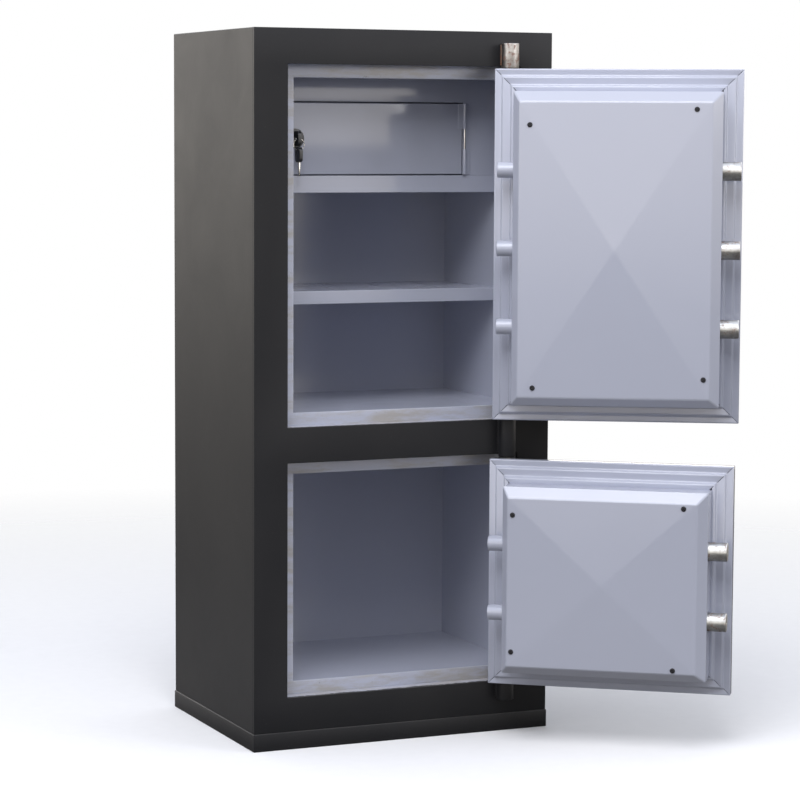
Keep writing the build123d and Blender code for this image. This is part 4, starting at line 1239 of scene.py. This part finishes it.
class SAFE_OT_outside(bpy.types.Operator):
    """Flatten the outer plates and fit handles, key locks and their covers"""
    bl_idname = "safe.outside"
    bl_label = "Door outsides"

    def handle(self, low, high):
        """A hub with a tapered lever along X, its box given."""
        hub_radius = (high.z - low.z) / 2
        x, z = low.x + hub_radius, (low.z + high.z) / 2
        hub = rod_piece("hub", hub_radius, (x, high.y, z), (x, low.y, z), 72)
        edit(hub)
        pick(hub, "edges", lambda e: all(v.co.y < low.y + 1e-5 for v in e.verts))
        bpy.ops.mesh.bevel(offset=HUB_ROUND, segments=6, affect="EDGES")
        pick(hub, "faces", lambda f: f.normal.y < -0.99)
        bpy.ops.mesh.inset(thickness=HUB_RIM)
        bpy.ops.mesh.extrude_region_move(TRANSFORM_OT_translate={"value": (0, HUB_DISH, 0)})
        leave_edit()
        level, start = low.y + LEVER_SET, x + LEVER_START
        lever = rod_piece("lever", LEVER, (start, level, z), (high.x, level, z), 48)
        run = high.x - start
        edit(lever)
        pick(lever, "edges", lambda e: abs(e.verts[0].co.x - e.verts[1].co.x) > 0.5 * run)
        bpy.ops.mesh.subdivide(number_cuts=WAIST_RINGS)
        for ring in range(1, WAIST_RINGS + 1):
            place = start + run * ring / (WAIST_RINGS + 1)
            narrow = 1.0 - WAIST * sin(pi * ring / (WAIST_RINGS + 1)) ** 2
            pick(lever, "verts", lambda v: abs(v.co.x - place) < 1e-4)
            bpy.ops.transform.resize(value=(1, narrow, narrow), center_override=(place, level, z))
        pick(lever, "edges", lambda e: all(v.co.x > high.x - 1e-5 for v in e.verts))
        bpy.ops.mesh.bevel(offset=LEVER_ROUND, segments=7, affect="EDGES")
        leave_edit()
        return join("handle", [soften(hub, 0.0005, 2), soften(lever, 0.0005, 2)])

    def execute(self, context):
        for door in DOORS:
            body = f"{door}_door"
            low, high = closed_box(door, "plate")
            case_low, case_high = closed_box(door, "lock_case")
            x, z = (case_low.x + case_high.x) / 2, (case_low.z + case_high.z) / 2
            plate = soften(box_piece(f"{body}_plate_flat", low, high), settings()[1].edge)
            cut(plate, rod_piece("hole", SNOUT_HOLE, (x, low.y - 0.01, z), (x, high.y + 0.01, z), 48))
            smooth(plate)
            snout = soften(rod_piece("snout", SNOUT, (x, low.y, z), (x, high.y + 0.001, z), 48), 0.0005)
            cut(snout, box_piece(
                "slot", (x - KEY_SLOT_HALF_X, low.y - 0.001, z - KEY_SLOT_HALF_Z),
                (x + KEY_SLOT_HALF_X, low.y + KEY_SLOT_DEPTH, z + KEY_SLOT_HALF_Z)))
            case = soften(box_piece("case", (case_low.x, high.y, case_low.z), case_high), 0.0015)
            lock = join(f"{body}_lock_case_pressed", [case, snout])

            handle = self.handle(*closed_box(door, "handle"))
            handle.name = handle.data.name = f"{body}_handle_turned"

            low, high = closed_box(door, "key_cover")
            radius = (high.x - low.x) / 2
            disc = rod_piece("disc", radius, (x, low.y + SHIELD, z), (x, low.y, z), 64)
            edit(disc)
            pick(disc, "edges", lambda e: all(v.co.y < low.y + 1e-5 for v in e.verts))
            bpy.ops.mesh.bevel(offset=SHIELD_ROUND, segments=4, affect="EDGES")
            pick(disc, "faces", lambda f: f.normal.y < -0.99)
            bpy.ops.mesh.inset(thickness=SHIELD_RIM)
            bpy.ops.mesh.extrude_region_move(TRANSFORM_OT_translate={"value": (0, SHIELD_DISH, 0)})
            leave_edit()
            stud = rod_piece("stud", STUD, (x, low.y + 0.002, z + STUD_RISE), (x, high.y, z + STUD_RISE), 24)
            shield = join(f"{body}_key_cover_domed", [soften(disc, 0.0003, 2), soften(stud, 0.0004, 2)])

            for piece, rides, node in ((plate, body, "plate"), (lock, body, "lock_case"),
                                       (handle, f"{door}_handle", "handle"),
                                       (shield, f"{door}_key_cover", "key_cover")):
                node = f"{body}_{node}"
                piece.data.transform(hang(door))
                settle(piece, rides, SLOTS[node], finish(SLOT_FINISH[SLOTS[node]]), node)
        return {"FINISHED"}


class SAFE_PT_panel(bpy.types.Panel):
    """Lists the steps that build the safe"""
    bl_idname = "SAFE_PT_panel"
    bl_label = "Two-door safe"
    bl_space_type = "VIEW_3D"
    bl_region_type = "UI"
    bl_category = "Safe"

    def draw(self, context):
        for step in STEPS:
            self.layout.operator(step.bl_idname)
        for name in GROUPS:
            group = getattr(context.scene, name)
            box = self.layout.box()
            for key in group.__annotations__:
                box.prop(group, key)


STEPS = (SAFE_OT_stage, SAFE_OT_finishes, SAFE_OT_body, SAFE_OT_compartments, SAFE_OT_rims, SAFE_OT_covers,
         SAFE_OT_screws, SAFE_OT_bolts, SAFE_OT_hinges, SAFE_OT_locker, SAFE_OT_keys, SAFE_OT_outside)
GROUPS = {"safe_stage": SafeStage, "safe_sizes": SafeSizes, "safe_colours": SafeColours}


def register():
    for group in GROUPS.values():
        bpy.utils.register_class(group)
    for step in (*STEPS, SAFE_PT_panel):
        bpy.utils.register_class(step)
    for name, group in GROUPS.items():
        setattr(bpy.types.Scene, name, bpy.props.PointerProperty(type=group))


def unregister():
    for name in GROUPS:
        delattr(bpy.types.Scene, name)
    for step in (*STEPS, SAFE_PT_panel):
        bpy.utils.unregister_class(step)
    for group in GROUPS.values():
        bpy.utils.unregister_class(group)


def main():
    register()
    for step in STEPS:
        family, name = step.bl_idname.split(".")
        getattr(getattr(bpy.ops, family), name)()
    bpy.context.view_layer.update()


if __name__ == "__main__":
    main()
